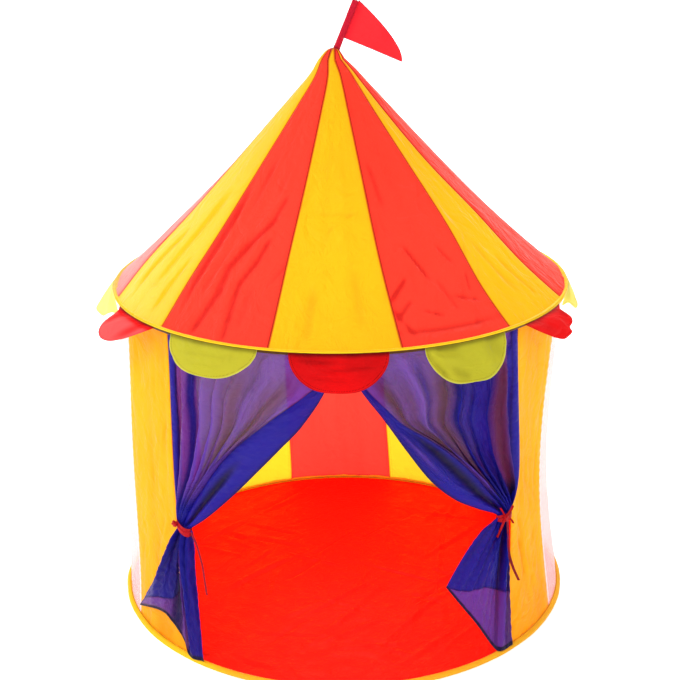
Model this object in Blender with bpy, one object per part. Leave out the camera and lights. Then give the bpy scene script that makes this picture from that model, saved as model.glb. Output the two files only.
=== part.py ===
"""A children's pop-up circus play tent, about 1.1 m across and 1.36 m tall.

The cloth hangs from a wire hoop at the eave and is held round at the floor by a second
hoop. The cone roof has twelve gores, the round wall has sewn panels and a doorway at -Y,
and two curtains are tied back at the sides of the doorway. Metres, +Z up, with the origin
on the floor at the tent's axis. Angles are in degrees from -Y, positive towards +X.
"""

import math

import bmesh
import bpy
from mathutils import Vector

# Overall sizes
BASE_RADIUS = 0.525
EAVE_RADIUS = 0.5045
EAVE_HEIGHT = 0.740
APEX_HEIGHT = 1.2315
FLAG_TOP = 1.360
GAP = 0.0003
CLOTH = 0.0022
WIRE_RADIUS = 0.0025

# Hem and floor; the hem's band lies lower and further out across the doorway
HEM_TOP = 0.027
HEM_TOP_AT_DOOR = 0.0115
HEM_SHOULDER = 0.019
HEM_SHOULDER_AT_DOOR = 0.010
HEM_SHIFT_AT_DOOR = 0.0085
HEM_BAND_WIDTH = 0.006
HEM_INNER = 0.5075
HEM_ROLL_TOP = 0.0085
HEM_ROLL_MIDDLE = 0.0045
HEM_ROLL_ROUND = 0.004
HEM_RISE_ANGLE = 5.0
HOOP_INSET = 0.0082
FLOOR_CLOTH = 0.002
RING_SEGMENTS = 72

# Eave binding
BINDING_HEIGHT = 0.016
BINDING_DEPTH = 0.009
BINDING_CLOTH = 0.0017
BINDING_ROUND = 0.003
BINDING_SLOT = 0.003

# Wall cloth: outer radius below the binding, at the waist and above the hem
WALL_TOP_RADIUS = 0.4990
WALL_WAIST_RADIUS = 0.4915
WALL_FOOT_RADIUS = 0.5020
WAIST_HEIGHT = 0.40
WALL_CENTRE = 2.0
DOOR_HALF = 45.5
DOOR_NARROWING = 4.0
FRONT_SEAM = 66.5
NET_SEAM = 100.0
SIDE_SEAM = 133.0
BACK_SEAM = 164.5
ANGLE_STEP = 5.0
WALL_ROWS = 7

# Roof
GORES = 12
GORE_ROWS = 4
GORE_COLUMNS = 6
ROOF_FOOT_RADIUS = 0.5010
ROOF_TOP_RADIUS = 0.0235
ROOF_CLOTH_ACROSS = 0.0031
CAP_HEIGHT = 0.022
CAP_CLOSING = 0.986
CAP_BLUNTNESS = 0.45
CAP_SIDES = 24
CAP_ROWS = 4

# Eave flaps
FLAP_HALF_WIDTH = 0.094
FLAP_DROP = 0.075
FLAP_TILT_FRONT = 36.0
FLAP_TILT_SIDE = 50.0
FLAP_TOP_DROP = 0.002
FLAP_TIP_HALF_WIDTH = 0.008
FLAP_LAST_ROW = 86.0
FLAP_ROWS = 5
FLAP_COLUMNS = 8

# Flag
FLAG_LEAN = 22.5
SLEEVE_RADIUS = 0.0068
SLEEVE_FOOT_RISE = 0.0026
SLEEVE_END_CLOTH = 0.002
SLEEVE_END_HOLE = 0.0008
STICK_RADIUS = 0.0028
FLAG_FOOT_X = -0.001
FLAG_SIDES = 16
PENNANT_LENGTH = 0.1397
PENNANT_FOOT = 0.0220
PENNANT_HEIGHT = 0.0850
PENNANT_CURVE = 0.6
PENNANT_CLOTH = 0.0016
PENNANT_RIPPLE = 0.004
PENNANT_WAVES = 4.5
PENNANT_COLUMNS = 10

# Curtains and their ties
TIE_HEIGHT = 0.312
TIE_RADIUS = 0.5026
TIE_OFFSET = 42.7
BUNDLE_HALF_ANGLE = 1.65
BUNDLE_THICKNESS = 0.009
CURTAIN_CLOTH = 0.0022
CURTAIN_TOP_RADIUS = 0.4968
CURTAIN_SAG = 0.020
CURTAIN_EDGE_GAP = 0.12
CURTAIN_MEETING_GAP = 0.06
CURTAIN_CLOSED_SHARE = 0.14
CURTAIN_COLUMNS = 8
CURTAIN_ROWS_ABOVE = 9
CURTAIN_ROWS_BELOW = 5
TIE_BAND_HEIGHT = 0.014
TIE_CLEAR = 0.009
TIE_CLOTH = 0.0016
TIE_ROOM_BESIDE = 0.0050
TIE_ROOM_BEFORE = 0.0034
TIE_SIDES = 20
TAIL_RADIUS = 0.0022
TAIL_SPACING = 0.011

# How sharply the curtains gather towards their ties
SWING_POWER = 1.2
EDGE_POWER = 6
OUTWARD_POWER = 3
BUNCH_POWER = 8
FAN_POWER = 0.5

# The lower edge of each curtain, as (angle, radius, height) from its outer edge inwards
LOW_EDGE_LEFT = [
    (-60.0, 0.5230, 0.052),
    (-47.5, 0.5200, 0.086),
    (-39.6, 0.5160, 0.034),
    (-34.3, 0.5150, 0.032),
]
LOW_EDGE_RIGHT = [
    (47.3, 0.5150, 0.032),
    (41.0, 0.5130, 0.034),
    (34.0, 0.5060, 0.115),
    (27.0, 0.5000, 0.200),
]

# The hanging ribbon ends, as (angle, radius, height) from the tie down
TAIL_LEFT = [
    (-38.71, 0.5070, 0.3046),
    (-38.60, 0.5080, 0.2980),
    (-38.00, 0.5120, 0.2850),
    (-36.90, 0.5150, 0.2450),
    (-35.60, 0.5160, 0.2100),
    (-34.20, 0.5165, 0.1750),
]
TAIL_RIGHT = [
    (45.2, 0.5112, 0.3046),
    (45.2, 0.5122, 0.2980),
    (45.6, 0.5160, 0.2700),
    (45.8, 0.5180, 0.2350),
    (47.2, 0.5190, 0.2000),
    (49.6, 0.5200, 0.1550),
]

RED = (0.85, 0.03, 0.015)
FLOOR_RED = (0.80, 0.012, 0.005)
YELLOW = (0.93, 0.62, 0.02)
LEMON = (0.90, 0.72, 0.03)
LIME = (0.62, 0.62, 0.06)
BLUE = (0.035, 0.022, 0.26)
NET = (0.90, 0.80, 0.80)
STEEL = (0.35, 0.35, 0.36)
WHITE = (0.85, 0.85, 0.83)


def clear_scene():
    for obj in list(bpy.data.objects):
        bpy.data.objects.remove(obj, do_unlink=True)


def make_material(name, colour, roughness=0.7, metallic=0.0):
    material = bpy.data.materials.new(name)
    material.use_nodes = True
    shader = material.node_tree.nodes["Principled BSDF"]
    shader.inputs["Base Color"].default_value = (*colour, 1.0)
    shader.inputs["Roughness"].default_value = roughness
    shader.inputs["Metallic"].default_value = metallic
    material.diffuse_color = (*colour, 1.0)
    return material


def add_object(name, mesh, colour, roughness=0.7, metallic=0.0):
    obj = bpy.data.objects.new(name, mesh)
    bpy.context.scene.collection.objects.link(obj)
    mesh.materials.append(make_material(name, colour, roughness, metallic))
    return obj


def mesh_from(name, points, faces):
    """A mesh with its normals turned outwards."""
    mesh = bpy.data.meshes.new(name)
    mesh.from_pydata([tuple(p) for p in points], [], faces)
    work = bmesh.new()
    work.from_mesh(mesh)
    bmesh.ops.recalc_face_normals(work, faces=work.faces)
    work.to_mesh(mesh)
    work.free()
    mesh.shade_smooth()
    mesh.set_sharp_from_angle(angle=math.radians(40))
    return mesh


def polar(angle, radius, height):
    turn = math.radians(angle)
    return Vector((radius * math.sin(turn), -radius * math.cos(turn), height))


def spread(low, high, steps):
    return [low + (high - low) * i / steps for i in range(steps + 1)]


def revolve(name, profile_at, colour, **finish):
    """A full ring; profile_at(angle) is its closed section as (radius, height) pairs."""
    points = []
    for i in range(RING_SEGMENTS):
        angle = 360 * i / RING_SEGMENTS
        points += [polar(angle, radius, height) for radius, height in profile_at(angle)]
    count = len(points) // RING_SEGMENTS
    faces = []
    for i in range(RING_SEGMENTS):
        for j in range(count):
            here, there = i * count, (i + 1) % RING_SEGMENTS * count
            following = (j + 1) % count
            faces.append((here + j, here + following, there + following, there + j))
    return add_object(name, mesh_from(name, points, faces), colour, **finish)


def shell(name, outer, inner, colour, **finish):
    """A closed shell between two grids of points with the same rows and columns."""
    rows, columns = len(outer), len(outer[0])
    points = [p for grid in (outer, inner) for row in grid for p in row]
    below = rows * columns

    def at(row, column):
        return row * columns + column

    faces = []
    for r in range(rows - 1):
        for c in range(columns - 1):
            ring = (at(r, c), at(r, c + 1), at(r + 1, c + 1), at(r + 1, c))
            faces.append(ring)
            faces.append(tuple(below + i for i in reversed(ring)))
    border = [at(0, c) for c in range(columns)]
    border += [at(r, columns - 1) for r in range(1, rows)]
    border += [at(rows - 1, c) for c in range(columns - 2, -1, -1)]
    border += [at(r, 0) for r in range(rows - 2, 0, -1)]
    for i, start in enumerate(border):
        end = border[(i + 1) % len(border)]
        faces.append((end, start, below + start, below + end))
    return add_object(name, mesh_from(name, points, faces), colour, **finish)


def circle_section(centre_radius, centre_height, radius, sides=8):
    turns = spread(0, math.tau, sides)[:-1]
    return [
        (centre_radius + radius * math.cos(t), centre_height + radius * math.sin(t))
        for t in turns
    ]


def wall_radius(height):
    """The outer radius of the wall cloth, drawn in a little at the waist."""
    if height > WAIST_HEIGHT:
        share = (height - WAIST_HEIGHT) / (EAVE_HEIGHT - WAIST_HEIGHT)
        return WALL_WAIST_RADIUS + (WALL_TOP_RADIUS - WALL_WAIST_RADIUS) * share**2
    share = (WAIST_HEIGHT - height) / (WAIST_HEIGHT - HEM_TOP)
    return WALL_WAIST_RADIUS + (WALL_FOOT_RADIUS - WALL_WAIST_RADIUS) * share**2


def half_gap_angle(radius):
    return math.degrees(GAP / 2 / radius)


def stack_of_rings(rings, close_ends=True):
    """The points and faces of rings of the same count, joined in their order."""
    sides = len(rings[0])
    points = [spot for ring in rings for spot in ring]
    faces = []
    for ring in range(len(rings) if not close_ends else len(rings) - 1):
        here, there = ring * sides, (ring + 1) % len(rings) * sides
        for i in range(sides):
            following = (i + 1) % sides
            faces.append((here + i, here + following, there + following, there + i))
    if close_ends:
        last = (len(rings) - 1) * sides
        faces += [tuple(range(sides)), tuple(range(last, last + sides))]
    return points, faces


def build_floor():
    """The round groundsheet, inside the hem."""
    angles = spread(0.0, 360.0, RING_SEGMENTS)[:-1]
    rings = [[polar(a, HEM_INNER - GAP, z) for a in angles] for z in (0.0, FLOOR_CLOTH)]
    mesh = mesh_from("floor_sheet", *stack_of_rings(rings))
    add_object("floor_sheet", mesh, FLOOR_RED)


def from_door_edge(angle):
    """Degrees from the nearer foot of the doorway, negative inside the doorway."""
    turn = abs((angle - WALL_CENTRE + 180) % 360 - 180)
    return turn - (DOOR_HALF - DOOR_NARROWING)


def hem_profile(angle):
    """The section of the hem, which is lower across the doorway than below the wall."""
    rise = min(1.0, max(0.0, 1 + from_door_edge(angle) / HEM_RISE_ANGLE))
    top = HEM_TOP_AT_DOOR + (HEM_TOP - HEM_TOP_AT_DOOR) * rise
    shoulder = HEM_SHOULDER_AT_DOOR + (HEM_SHOULDER - HEM_SHOULDER_AT_DOOR) * rise
    foot = WALL_FOOT_RADIUS + HEM_SHIFT_AT_DOOR * (1 - rise)
    outside = [
        (foot, top),
        (foot + HEM_BAND_WIDTH, shoulder),
        (BASE_RADIUS - HEM_ROLL_ROUND, HEM_ROLL_TOP),
        (BASE_RADIUS, HEM_ROLL_MIDDLE),
        (BASE_RADIUS - HEM_ROLL_ROUND, 0.0),
        (HEM_INNER, 0.0),
    ]
    inside = [
        (HEM_INNER, FLOOR_CLOTH),
        (BASE_RADIUS - HEM_ROLL_ROUND, FLOOR_CLOTH),
        (BASE_RADIUS - CLOTH, HEM_ROLL_MIDDLE),
        (BASE_RADIUS - HEM_ROLL_ROUND - CLOTH / 2, HEM_ROLL_TOP - CLOTH / 2),
        (foot + HEM_BAND_WIDTH - CLOTH / 2, shoulder - CLOTH),
        (foot - CLOTH, top - CLOTH),
        (foot - CLOTH, top),
    ]
    return outside + inside


def build_hem():
    """The yellow band that is folded round the base hoop and sewn to the wall's foot."""
    revolve("base_hem", hem_profile, LEMON)
    wire_height = FLOOR_CLOTH + GAP + WIRE_RADIUS
    section = circle_section(BASE_RADIUS - HOOP_INSET, wire_height, WIRE_RADIUS)
    revolve("base_hoop", lambda angle: section, STEEL, roughness=0.4, metallic=1.0)


def build_eave():
    """A wire hoop in a cloth binding that is open along its inner side."""
    outer, inner = EAVE_RADIUS, EAVE_RADIUS - BINDING_DEPTH
    cloth, bevel = BINDING_CLOTH, BINDING_ROUND
    upper_outside = [
        (inner, BINDING_SLOT / 2),
        (inner, BINDING_HEIGHT / 2),
        (outer - bevel, BINDING_HEIGHT / 2),
        (outer, BINDING_HEIGHT / 2 - bevel),
    ]
    upper_inside = [
        (outer - cloth, BINDING_HEIGHT / 2 - bevel - cloth / 2),
        (outer - bevel - cloth / 2, BINDING_HEIGHT / 2 - cloth),
        (inner + cloth, BINDING_HEIGHT / 2 - cloth),
        (inner + cloth, BINDING_SLOT / 2),
    ]
    upper = upper_outside + [(r, -h) for r, h in reversed(upper_outside)]
    lower = [(r, -h) for r, h in reversed(upper_inside)] + upper_inside
    profile = [(r, EAVE_HEIGHT + h) for r, h in upper + lower]
    revolve("eave_binding", lambda angle: profile, LEMON)
    wire_centre = outer - cloth - GAP - WIRE_RADIUS
    section = circle_section(wire_centre, EAVE_HEIGHT, WIRE_RADIUS)
    revolve("eave_hoop", lambda angle: section, STEEL, roughness=0.4, metallic=1.0)


def door_narrowing(height):
    """How far the door edge has come in from its place at the eave, in degrees."""
    top = EAVE_HEIGHT - BINDING_HEIGHT / 2
    return DOOR_NARROWING * ((top - height) / top) ** 3


def build_wall_panel(name, start, end, colour, door_side=0):
    """One wall panel between two angles, from the hem up to the binding.

    door_side is -1 where the panel's end borders the doorway, 1 where its start does.
    """
    top = EAVE_HEIGHT - BINDING_HEIGHT / 2 - GAP
    trim = half_gap_angle(WALL_WAIST_RADIUS)
    steps = max(2, round((end - start) / ANGLE_STEP))
    outer, inner = [], []
    for z in spread(HEM_TOP + GAP, top, WALL_ROWS):
        inward = door_narrowing(z)
        low = start + trim - (inward if door_side > 0 else 0)
        high = end - trim + (inward if door_side < 0 else 0)
        angles = spread(low, high, steps)
        outer.append([polar(a, wall_radius(z), z) for a in angles])
        inner.append([polar(a, wall_radius(z) - CLOTH, z) for a in angles])
    shell(name, outer, inner, colour)


def build_walls():
    panels = (
        ("front_panel", DOOR_HALF, FRONT_SEAM, YELLOW),
        ("net_window", FRONT_SEAM, NET_SEAM, NET),
        ("red_panel", NET_SEAM, SIDE_SEAM, RED),
        ("back_panel", SIDE_SEAM, BACK_SEAM, YELLOW),
    )
    for name, near, far, colour in panels:
        edge = 1 if near == DOOR_HALF else 0
        left = (WALL_CENTRE - far, WALL_CENTRE - near)
        right = (WALL_CENTRE + near, WALL_CENTRE + far)
        build_wall_panel(name + "_left", *left, colour, door_side=-edge)
        build_wall_panel(name + "_right", *right, colour, door_side=edge)
    back_end = WALL_CENTRE + 360 - BACK_SEAM
    build_wall_panel("back_centre_panel", WALL_CENTRE + BACK_SEAM, back_end, RED)


def roof_radius(height):
    """The outer radius of the straight cone."""
    low = EAVE_HEIGHT + BINDING_HEIGHT / 2 + GAP
    share = (height - low) / (APEX_HEIGHT - low)
    return ROOF_FOOT_RADIUS + (ROOF_TOP_RADIUS - ROOF_FOOT_RADIUS) * share


def build_roof():
    low = EAVE_HEIGHT + BINDING_HEIGHT / 2 + GAP
    half = 180 / GORES
    for i in range(GORES):
        centre = 2 * half * i
        outer, inner = [], []
        for z in spread(low, APEX_HEIGHT, GORE_ROWS):
            radius = roof_radius(z)
            trim = half_gap_angle(radius - ROOF_CLOTH_ACROSS)
            angles = spread(centre - half + trim, centre + half - trim, GORE_COLUMNS)
            outer.append([polar(a, radius, z) for a in angles])
            inner.append([polar(a, radius - ROOF_CLOTH_ACROSS, z) for a in angles])
        colour = YELLOW if i % 2 == 0 else RED
        shell(f"roof_gore_{i + 1:02d}", outer, inner, colour)


def build_cap():
    """The blunt cloth cap that closes the gores at the apex."""
    angles = spread(0.0, 360.0, CAP_SIDES)[:-1]
    rings = []
    for share in spread(0.0, 1.0, CAP_ROWS):
        radius = ROOF_TOP_RADIUS * (1 - CAP_CLOSING * share) ** CAP_BLUNTNESS
        height = APEX_HEIGHT + GAP + CAP_HEIGHT * share
        rings.append([polar(a, radius, height) for a in angles])
    add_object("apex_cap", mesh_from("apex_cap", *stack_of_rings(rings)), YELLOW)


def flap_tilt(angle):
    """How far a flap stands out from the vertical: more at the sides than in front."""
    side = abs(math.sin(math.radians(angle)))
    return FLAP_TILT_FRONT + (FLAP_TILT_SIDE - FLAP_TILT_FRONT) * side**2


def build_flap(name, centre, colour):
    """A half-round flap that follows the eave and tilts outwards from it."""
    lean = math.radians(flap_tilt(centre))
    foot = EAVE_RADIUS + GAP
    top = EAVE_HEIGHT - FLAP_TOP_DROP
    outer, inner = [], []
    for turn in spread(0.0, math.radians(FLAP_LAST_ROW), FLAP_ROWS):
        drop = FLAP_DROP * math.sin(turn)
        width = max(FLAP_HALF_WIDTH * math.cos(turn), FLAP_TIP_HALF_WIDTH)
        reach = foot + drop * math.sin(lean)
        height = top - drop * math.cos(lean)
        half = math.degrees(width / EAVE_RADIUS)
        angles = spread(centre - half, centre + half, FLAP_COLUMNS)
        outer.append([polar(a, reach + CLOTH, height) for a in angles])
        inner.append([polar(a, reach, height - CLOTH) for a in angles])
    shell(name, outer, inner, colour)


def build_flaps():
    for i in range(GORES):
        colour = RED if i % 2 == 0 else LIME
        build_flap(f"eave_flap_{i + 1:02d}", 360 / GORES * i, colour)


def gathered_row(side, share, across):
    """The curtain's row at this share of the drop to its tie."""
    tie = WALL_CENTRE + side * TIE_OFFSET
    top = EAVE_HEIGHT - BINDING_HEIGHT / 2 - GAP
    height = top + (TIE_HEIGHT + TIE_CLEAR - top) * share
    first = WALL_CENTRE + side * (DOOR_HALF - CURTAIN_EDGE_GAP - door_narrowing(height))
    last = WALL_CENTRE / 2 + side * CURTAIN_MEETING_GAP
    open_share = (share - CURTAIN_CLOSED_SHARE) / (1 - CURTAIN_CLOSED_SHARE)
    swing = max(0.0, open_share) ** SWING_POWER
    first += (tie + side * BUNDLE_HALF_ANGLE - first) * share**EDGE_POWER
    last += (tie - side * BUNDLE_HALF_ANGLE - last) * swing
    radius = CURTAIN_TOP_RADIUS + (TIE_RADIUS - CURTAIN_TOP_RADIUS) * share**OUTWARD_POWER
    thick = CURTAIN_CLOTH + (BUNDLE_THICKNESS - CURTAIN_CLOTH) * share**BUNCH_POWER
    sag = CURTAIN_SAG * 4 * share * (1 - share)
    return [(first + (last - first) * u, radius - sag * u, height, thick) for u in across]


def curtain_rows(side, low_edge):
    """Rows of (angle, radius, height, thickness) from the eave through the tie.

    side is -1 on the left and 1 on the right. low_edge lists (angle, radius, height) along
    the bottom, from the outer edge to the free edge.
    """
    across = spread(0.0, 1.0, CURTAIN_COLUMNS)
    shares = spread(0.0, 1.0, CURTAIN_ROWS_ABOVE)
    rows = [gathered_row(side, share, across) for share in shares]
    waist = [(a, r, z - 2 * TIE_CLEAR, t) for a, r, z, t in rows[-1]]
    rows.append(waist)
    for share in spread(0.0, 1.0, CURTAIN_ROWS_BELOW)[1:]:
        fan = share**FAN_POWER
        thick = BUNDLE_THICKNESS + (CURTAIN_CLOTH - BUNDLE_THICKNESS) * fan
        row = []
        for u, (angle, radius, height, _) in zip(across, waist):
            low = between(low_edge, u)
            spot = [a + (b - a) * share for a, b in zip((angle, radius, height), low)]
            row.append((*spot, thick))
        rows.append(row)
    return rows


def between(line, u):
    """The point at share u along a list of evenly spaced points."""
    place = u * (len(line) - 1)
    i = min(int(place), len(line) - 2)
    rest = place - i
    return [a + (b - a) * rest for a, b in zip(line[i], line[i + 1])]


def build_curtain(name, side, low_edge):
    outer, inner = [], []
    for row in curtain_rows(side, low_edge):
        outer.append([polar(a, r + t / 2, z) for a, r, z, t in row])
        inner.append([polar(a, r - t / 2, z) for a, r, z, t in row])
    shell(name, outer, inner, BLUE, roughness=0.5)


def build_tie(name, side):
    """The ribbon's loop round the gathered curtain."""
    angle = WALL_CENTRE + side * TIE_OFFSET
    centre = polar(angle, TIE_RADIUS, TIE_HEIGHT)
    out = polar(angle, 1.0, 0.0)
    along = polar(angle + 90, 1.0, 0.0)
    half_width = math.radians(BUNDLE_HALF_ANGLE) * TIE_RADIUS + TIE_ROOM_BESIDE
    half_depth = BUNDLE_THICKNESS / 2 + TIE_ROOM_BEFORE
    corners = ((0.0, 0.5), (TIE_CLOTH, 0.5), (TIE_CLOTH, -0.5), (0.0, -0.5))
    rings = []
    for grow, rise in corners:
        ring = []
        for turn in spread(0.0, math.tau, TIE_SIDES)[:-1]:
            spot = centre + along * (half_width + grow) * math.cos(turn)
            spot += out * (half_depth + grow) * math.sin(turn)
            spot.z += rise * TIE_BAND_HEIGHT
            ring.append(spot)
        rings.append(ring)
    points, faces = stack_of_rings(rings, close_ends=False)
    add_object(name, mesh_from(name, points, faces), RED)


def smooth_route(points, spacing):
    """Points about spacing apart on a smooth curve through the given points."""
    ends = [2 * points[0] - points[1], *points, 2 * points[-1] - points[-2]]
    route = []
    for a, b, c, d in zip(ends, ends[1:], ends[2:], ends[3:]):
        steps = max(1, round((c - b).length / spacing))
        for i in range(steps):
            t = i / steps
            route.append(
                0.5 * ((2 * b) + (c - a) * t + (2 * a - 5 * b + 4 * c - d) * t**2
                       + (3 * b - a - 3 * c + d) * t**3)
            )
    route.append(points[-1])
    return route


def build_tail(name, route):
    """A free end of a tie ribbon, hanging from its knot."""
    curve = bpy.data.curves.new(name, "CURVE")
    curve.dimensions = "3D"
    curve.bevel_depth = TAIL_RADIUS
    curve.bevel_resolution = 2
    curve.use_fill_caps = True
    spots = smooth_route([polar(*spot) for spot in route], TAIL_SPACING)
    spline = curve.splines.new("POLY")
    spline.points.add(len(spots) - 1)
    for point, spot in zip(spline.points, spots):
        point.co = (*spot, 1.0)
    obj = bpy.data.objects.new(name, curve)
    bpy.context.scene.collection.objects.link(obj)
    curve.materials.append(make_material(name, RED))


def build_curtains():
    build_curtain("curtain_left", -1, LOW_EDGE_LEFT)
    build_curtain("curtain_right", 1, LOW_EDGE_RIGHT)
    build_tie("curtain_tie_left", -1)
    build_tie("curtain_tie_right", 1)
    build_tail("tie_tail_left", TAIL_LEFT)
    build_tail("tie_tail_right", TAIL_RIGHT)


def tube(name, axes, profile, colour, close_ends):
    """A turned piece on the flag's axis, from (radius, distance along) pairs."""
    foot, up, side, depth = axes
    rings = []
    for radius, along in profile:
        ring = []
        for turn in spread(0.0, math.tau, FLAG_SIDES)[:-1]:
            spot = foot + up * along + side * radius * math.cos(turn)
            ring.append(spot + depth * radius * math.sin(turn))
        rings.append(ring)
    points, faces = stack_of_rings(rings, close_ends)
    add_object(name, mesh_from(name, points, faces), colour)


def build_pennant(axes):
    """A pennant with a straight lower edge and a rounded upper one, sewn to the sleeve."""
    foot, up, side, depth = axes
    start = SLEEVE_RADIUS + GAP
    front, back = [], []
    for turn in spread(0.0, 1.0, PENNANT_COLUMNS)[:-1] + [0.995]:
        along = turn * (2 - turn)
        out = start + (PENNANT_LENGTH - start) * along
        rise = PENNANT_HEIGHT * (1 - along) ** PENNANT_CURVE
        ripple = PENNANT_RIPPLE * math.sin(PENNANT_WAVES * along) * along
        row = []
        for share in spread(0.0, 1.0, 5):
            row.append(foot + side * out + up * (PENNANT_FOOT + rise * share) + depth * ripple)
        front.append([spot - depth * PENNANT_CLOTH / 2 for spot in row])
        back.append([spot + depth * PENNANT_CLOTH / 2 for spot in row])
    shell("flag_pennant", front, back, RED)


def build_flag():
    """A stick in a cloth sleeve that leans to +X, and the pennant sewn along the sleeve."""
    lean = math.radians(FLAG_LEAN)
    up = Vector((math.sin(lean), 0, math.cos(lean)))
    side = Vector((math.cos(lean), 0, -math.sin(lean)))
    depth = Vector((0, 1, 0))
    foot_height = APEX_HEIGHT + GAP + CAP_HEIGHT + SLEEVE_FOOT_RISE
    axes = (Vector((FLAG_FOOT_X, 0, foot_height)), up, side, depth)
    length = (FLAG_TOP - foot_height - SLEEVE_END_CLOTH) / math.cos(lean) - SLEEVE_END_CLOTH
    closed_from = length - SLEEVE_END_CLOTH
    sleeve = [
        (SLEEVE_RADIUS, 0.0),
        (SLEEVE_RADIUS, length),
        (SLEEVE_END_HOLE, length + SLEEVE_END_HOLE),
        (SLEEVE_END_HOLE, closed_from),
        (STICK_RADIUS + GAP, closed_from),
        (STICK_RADIUS + GAP, 0.0),
    ]
    stick = [(STICK_RADIUS, 0.0), (STICK_RADIUS, closed_from - GAP)]
    tube("flag_sleeve", axes, sleeve, RED, close_ends=False)
    tube("flag_stick", axes, stick, WHITE, close_ends=True)
    build_pennant(axes)


def main():
    clear_scene()
    build_floor()
    build_hem()
    build_eave()
    build_walls()
    build_roof()
    build_cap()
    build_flaps()
    build_curtains()
    build_flag()


main()
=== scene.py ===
import bisect
import math
import random

import bpy
from mathutils import Matrix, Vector, noise


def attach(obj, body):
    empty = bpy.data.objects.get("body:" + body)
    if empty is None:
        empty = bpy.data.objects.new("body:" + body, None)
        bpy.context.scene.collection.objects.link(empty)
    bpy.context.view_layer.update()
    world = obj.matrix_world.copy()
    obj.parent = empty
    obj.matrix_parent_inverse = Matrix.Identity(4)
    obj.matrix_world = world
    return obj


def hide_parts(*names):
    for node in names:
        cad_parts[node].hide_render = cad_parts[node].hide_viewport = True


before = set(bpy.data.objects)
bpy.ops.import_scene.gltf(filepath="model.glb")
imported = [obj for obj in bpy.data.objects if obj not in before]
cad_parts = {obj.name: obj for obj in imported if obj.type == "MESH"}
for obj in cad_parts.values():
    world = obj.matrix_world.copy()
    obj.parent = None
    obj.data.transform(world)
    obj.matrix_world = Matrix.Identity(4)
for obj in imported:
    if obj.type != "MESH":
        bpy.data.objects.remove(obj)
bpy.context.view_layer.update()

# Angles are in degrees from -Y, positive towards +X; lengths are in metres.

# Camera
CAMERA_PLACE = (0.0724, -2.9582, 1.6433)
CAMERA_YAW = 1.4507
CAMERA_PITCH = 19.566
CAMERA_ROLL = -0.652
CAMERA_LENS = 72.39

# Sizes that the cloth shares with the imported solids
BASE_RADIUS = 0.525
EAVE_RADIUS = 0.5045
APEX_HEIGHT = 1.2315
ROOF_FOOT_HEIGHT = 0.7465
ROOF_FOOT_RADIUS = 0.5025
ROOF_TOP_RADIUS = 0.0235
CAP_HEIGHT = 0.0225
WALL_FOOT = 0.008
WALL_TOP = 0.741
WALL_TOP_RADIUS = 0.4990
WALL_WAIST_RADIUS = 0.4915
WALL_FOOT_RADIUS = 0.5118
WAIST_HEIGHT = 0.40
WALL_CENTRE = 2.0
DOOR_HALF = 45.5
DOOR_NARROWING = 4.0
FRONT_SEAM = 66.5
NET_SEAM = 100.0
SIDE_SEAM = 133.0
BACK_SEAM = 164.5
GORES = 12
TIE_RADIUS = 0.5026
BUNDLE_HALF_ANGLE = 1.9
CURTAIN_TOP_RADIUS = 0.4955
CURTAIN_SAG = 0.020
CURTAIN_FLAT = (0.394, 0.72)
FLAG_LEAN = 22.5
FLAG_FOOT = (-0.001, 0.0, 1.2564)
SLEEVE_RADIUS = 0.0068
SLEEVE_LENGTH = 0.1055
SLEEVE_OVERLAP = 0.005
PENNANT_LENGTH = 0.1397
PENNANT_FOOT = 0.0220
PENNANT_HEIGHT = 0.0850

# How the made tent differs from a true round one: the wall leans to -X at half its height,
# its doorway edges bow towards +X (degrees), and the roof sags and its tip leans
WALL_SWAY = 0.014
DOOR_BOW = {-1: 0.8, 1: 4.2}
ROOF_SAG = 0.0118
TIP_SPREAD = 0.0042
ROOF_SHIFT = [(0, 0), (0.3, -0.0046), (0.6, -0.0046), (0.82, -0.0056), (0.94, -0.0072), (1, -0.013)]

# The angle of each roof seam by the share of the slope, from the seam at -15 onwards
ROOF_SEAMS = [
    [(0, -15), (1, -15)],
    [(0, 15), (1, 15)],
    [(0, 44), (0.165, 44.5), (0.385, 47.7), (0.6, 48), (0.82, 47.2), (1, 46)],
    [(0, 71), (0.165, 70), (0.385, 71), (0.6, 66), (0.82, 63), (1, 60)],
    [(0, 103), (1, 98)],
    [(0, 134), (1, 131)],
    [(0, 165), (1, 164)],
    [(0, 195), (1, 195)],
    [(0, 226), (1, 225)],
    [(0, 257), (1, 247)],
    [(0, 288), (0.165, 282), (0.385, 280.5), (0.6, 275), (0.82, 266), (1, 262)],
    [(0, 315), (0.165, 313.5), (0.385, 312.7), (0.6, 311.2), (0.82, 310), (1, 309)],
]

# The hanging ribbon ends, as (angle, radius, height) from the tie down
TAIL_LEFT = [
    (-37.3, 0.5085, 0.3085),
    (-36.6, 0.5100, 0.3010),
    (-35.1, 0.5140, 0.2860),
    (-33.6, 0.5155, 0.2460),
    (-33.0, 0.5160, 0.2100),
    (-32.5, 0.5165, 0.1780),
]
TAIL_RIGHT = [
    (43.9, 0.5120, 0.3240),
    (43.8, 0.5130, 0.3150),
    (43.9, 0.5150, 0.2850),
    (44.2, 0.5160, 0.2450),
    (45.8, 0.5165, 0.2050),
    (48.4, 0.5165, 0.1620),
]
TIES = {"left": (-1, -40.2, 0.312), "right": (1, 43.6, 0.330)}
RIBBON_WIDTH = 0.006


def polar(angle, radius, height):
    turn = math.radians(angle)
    return Vector((radius * math.sin(turn), -radius * math.cos(turn), height))


def outward(angle):
    return polar(angle, 1.0, 0.0)


def mix(a, b, share):
    return a + (b - a) * share


def ease(x):
    """A smooth step from 0 to 1."""
    x = min(max(x, 0.0), 1.0)
    return x * x * (3 - 2 * x)


def angle_of(spot):
    return math.degrees(math.atan2(spot.x, -spot.y))


def bell(x, middle, half):
    return math.exp(-(((x - middle) / half) ** 2))


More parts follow.
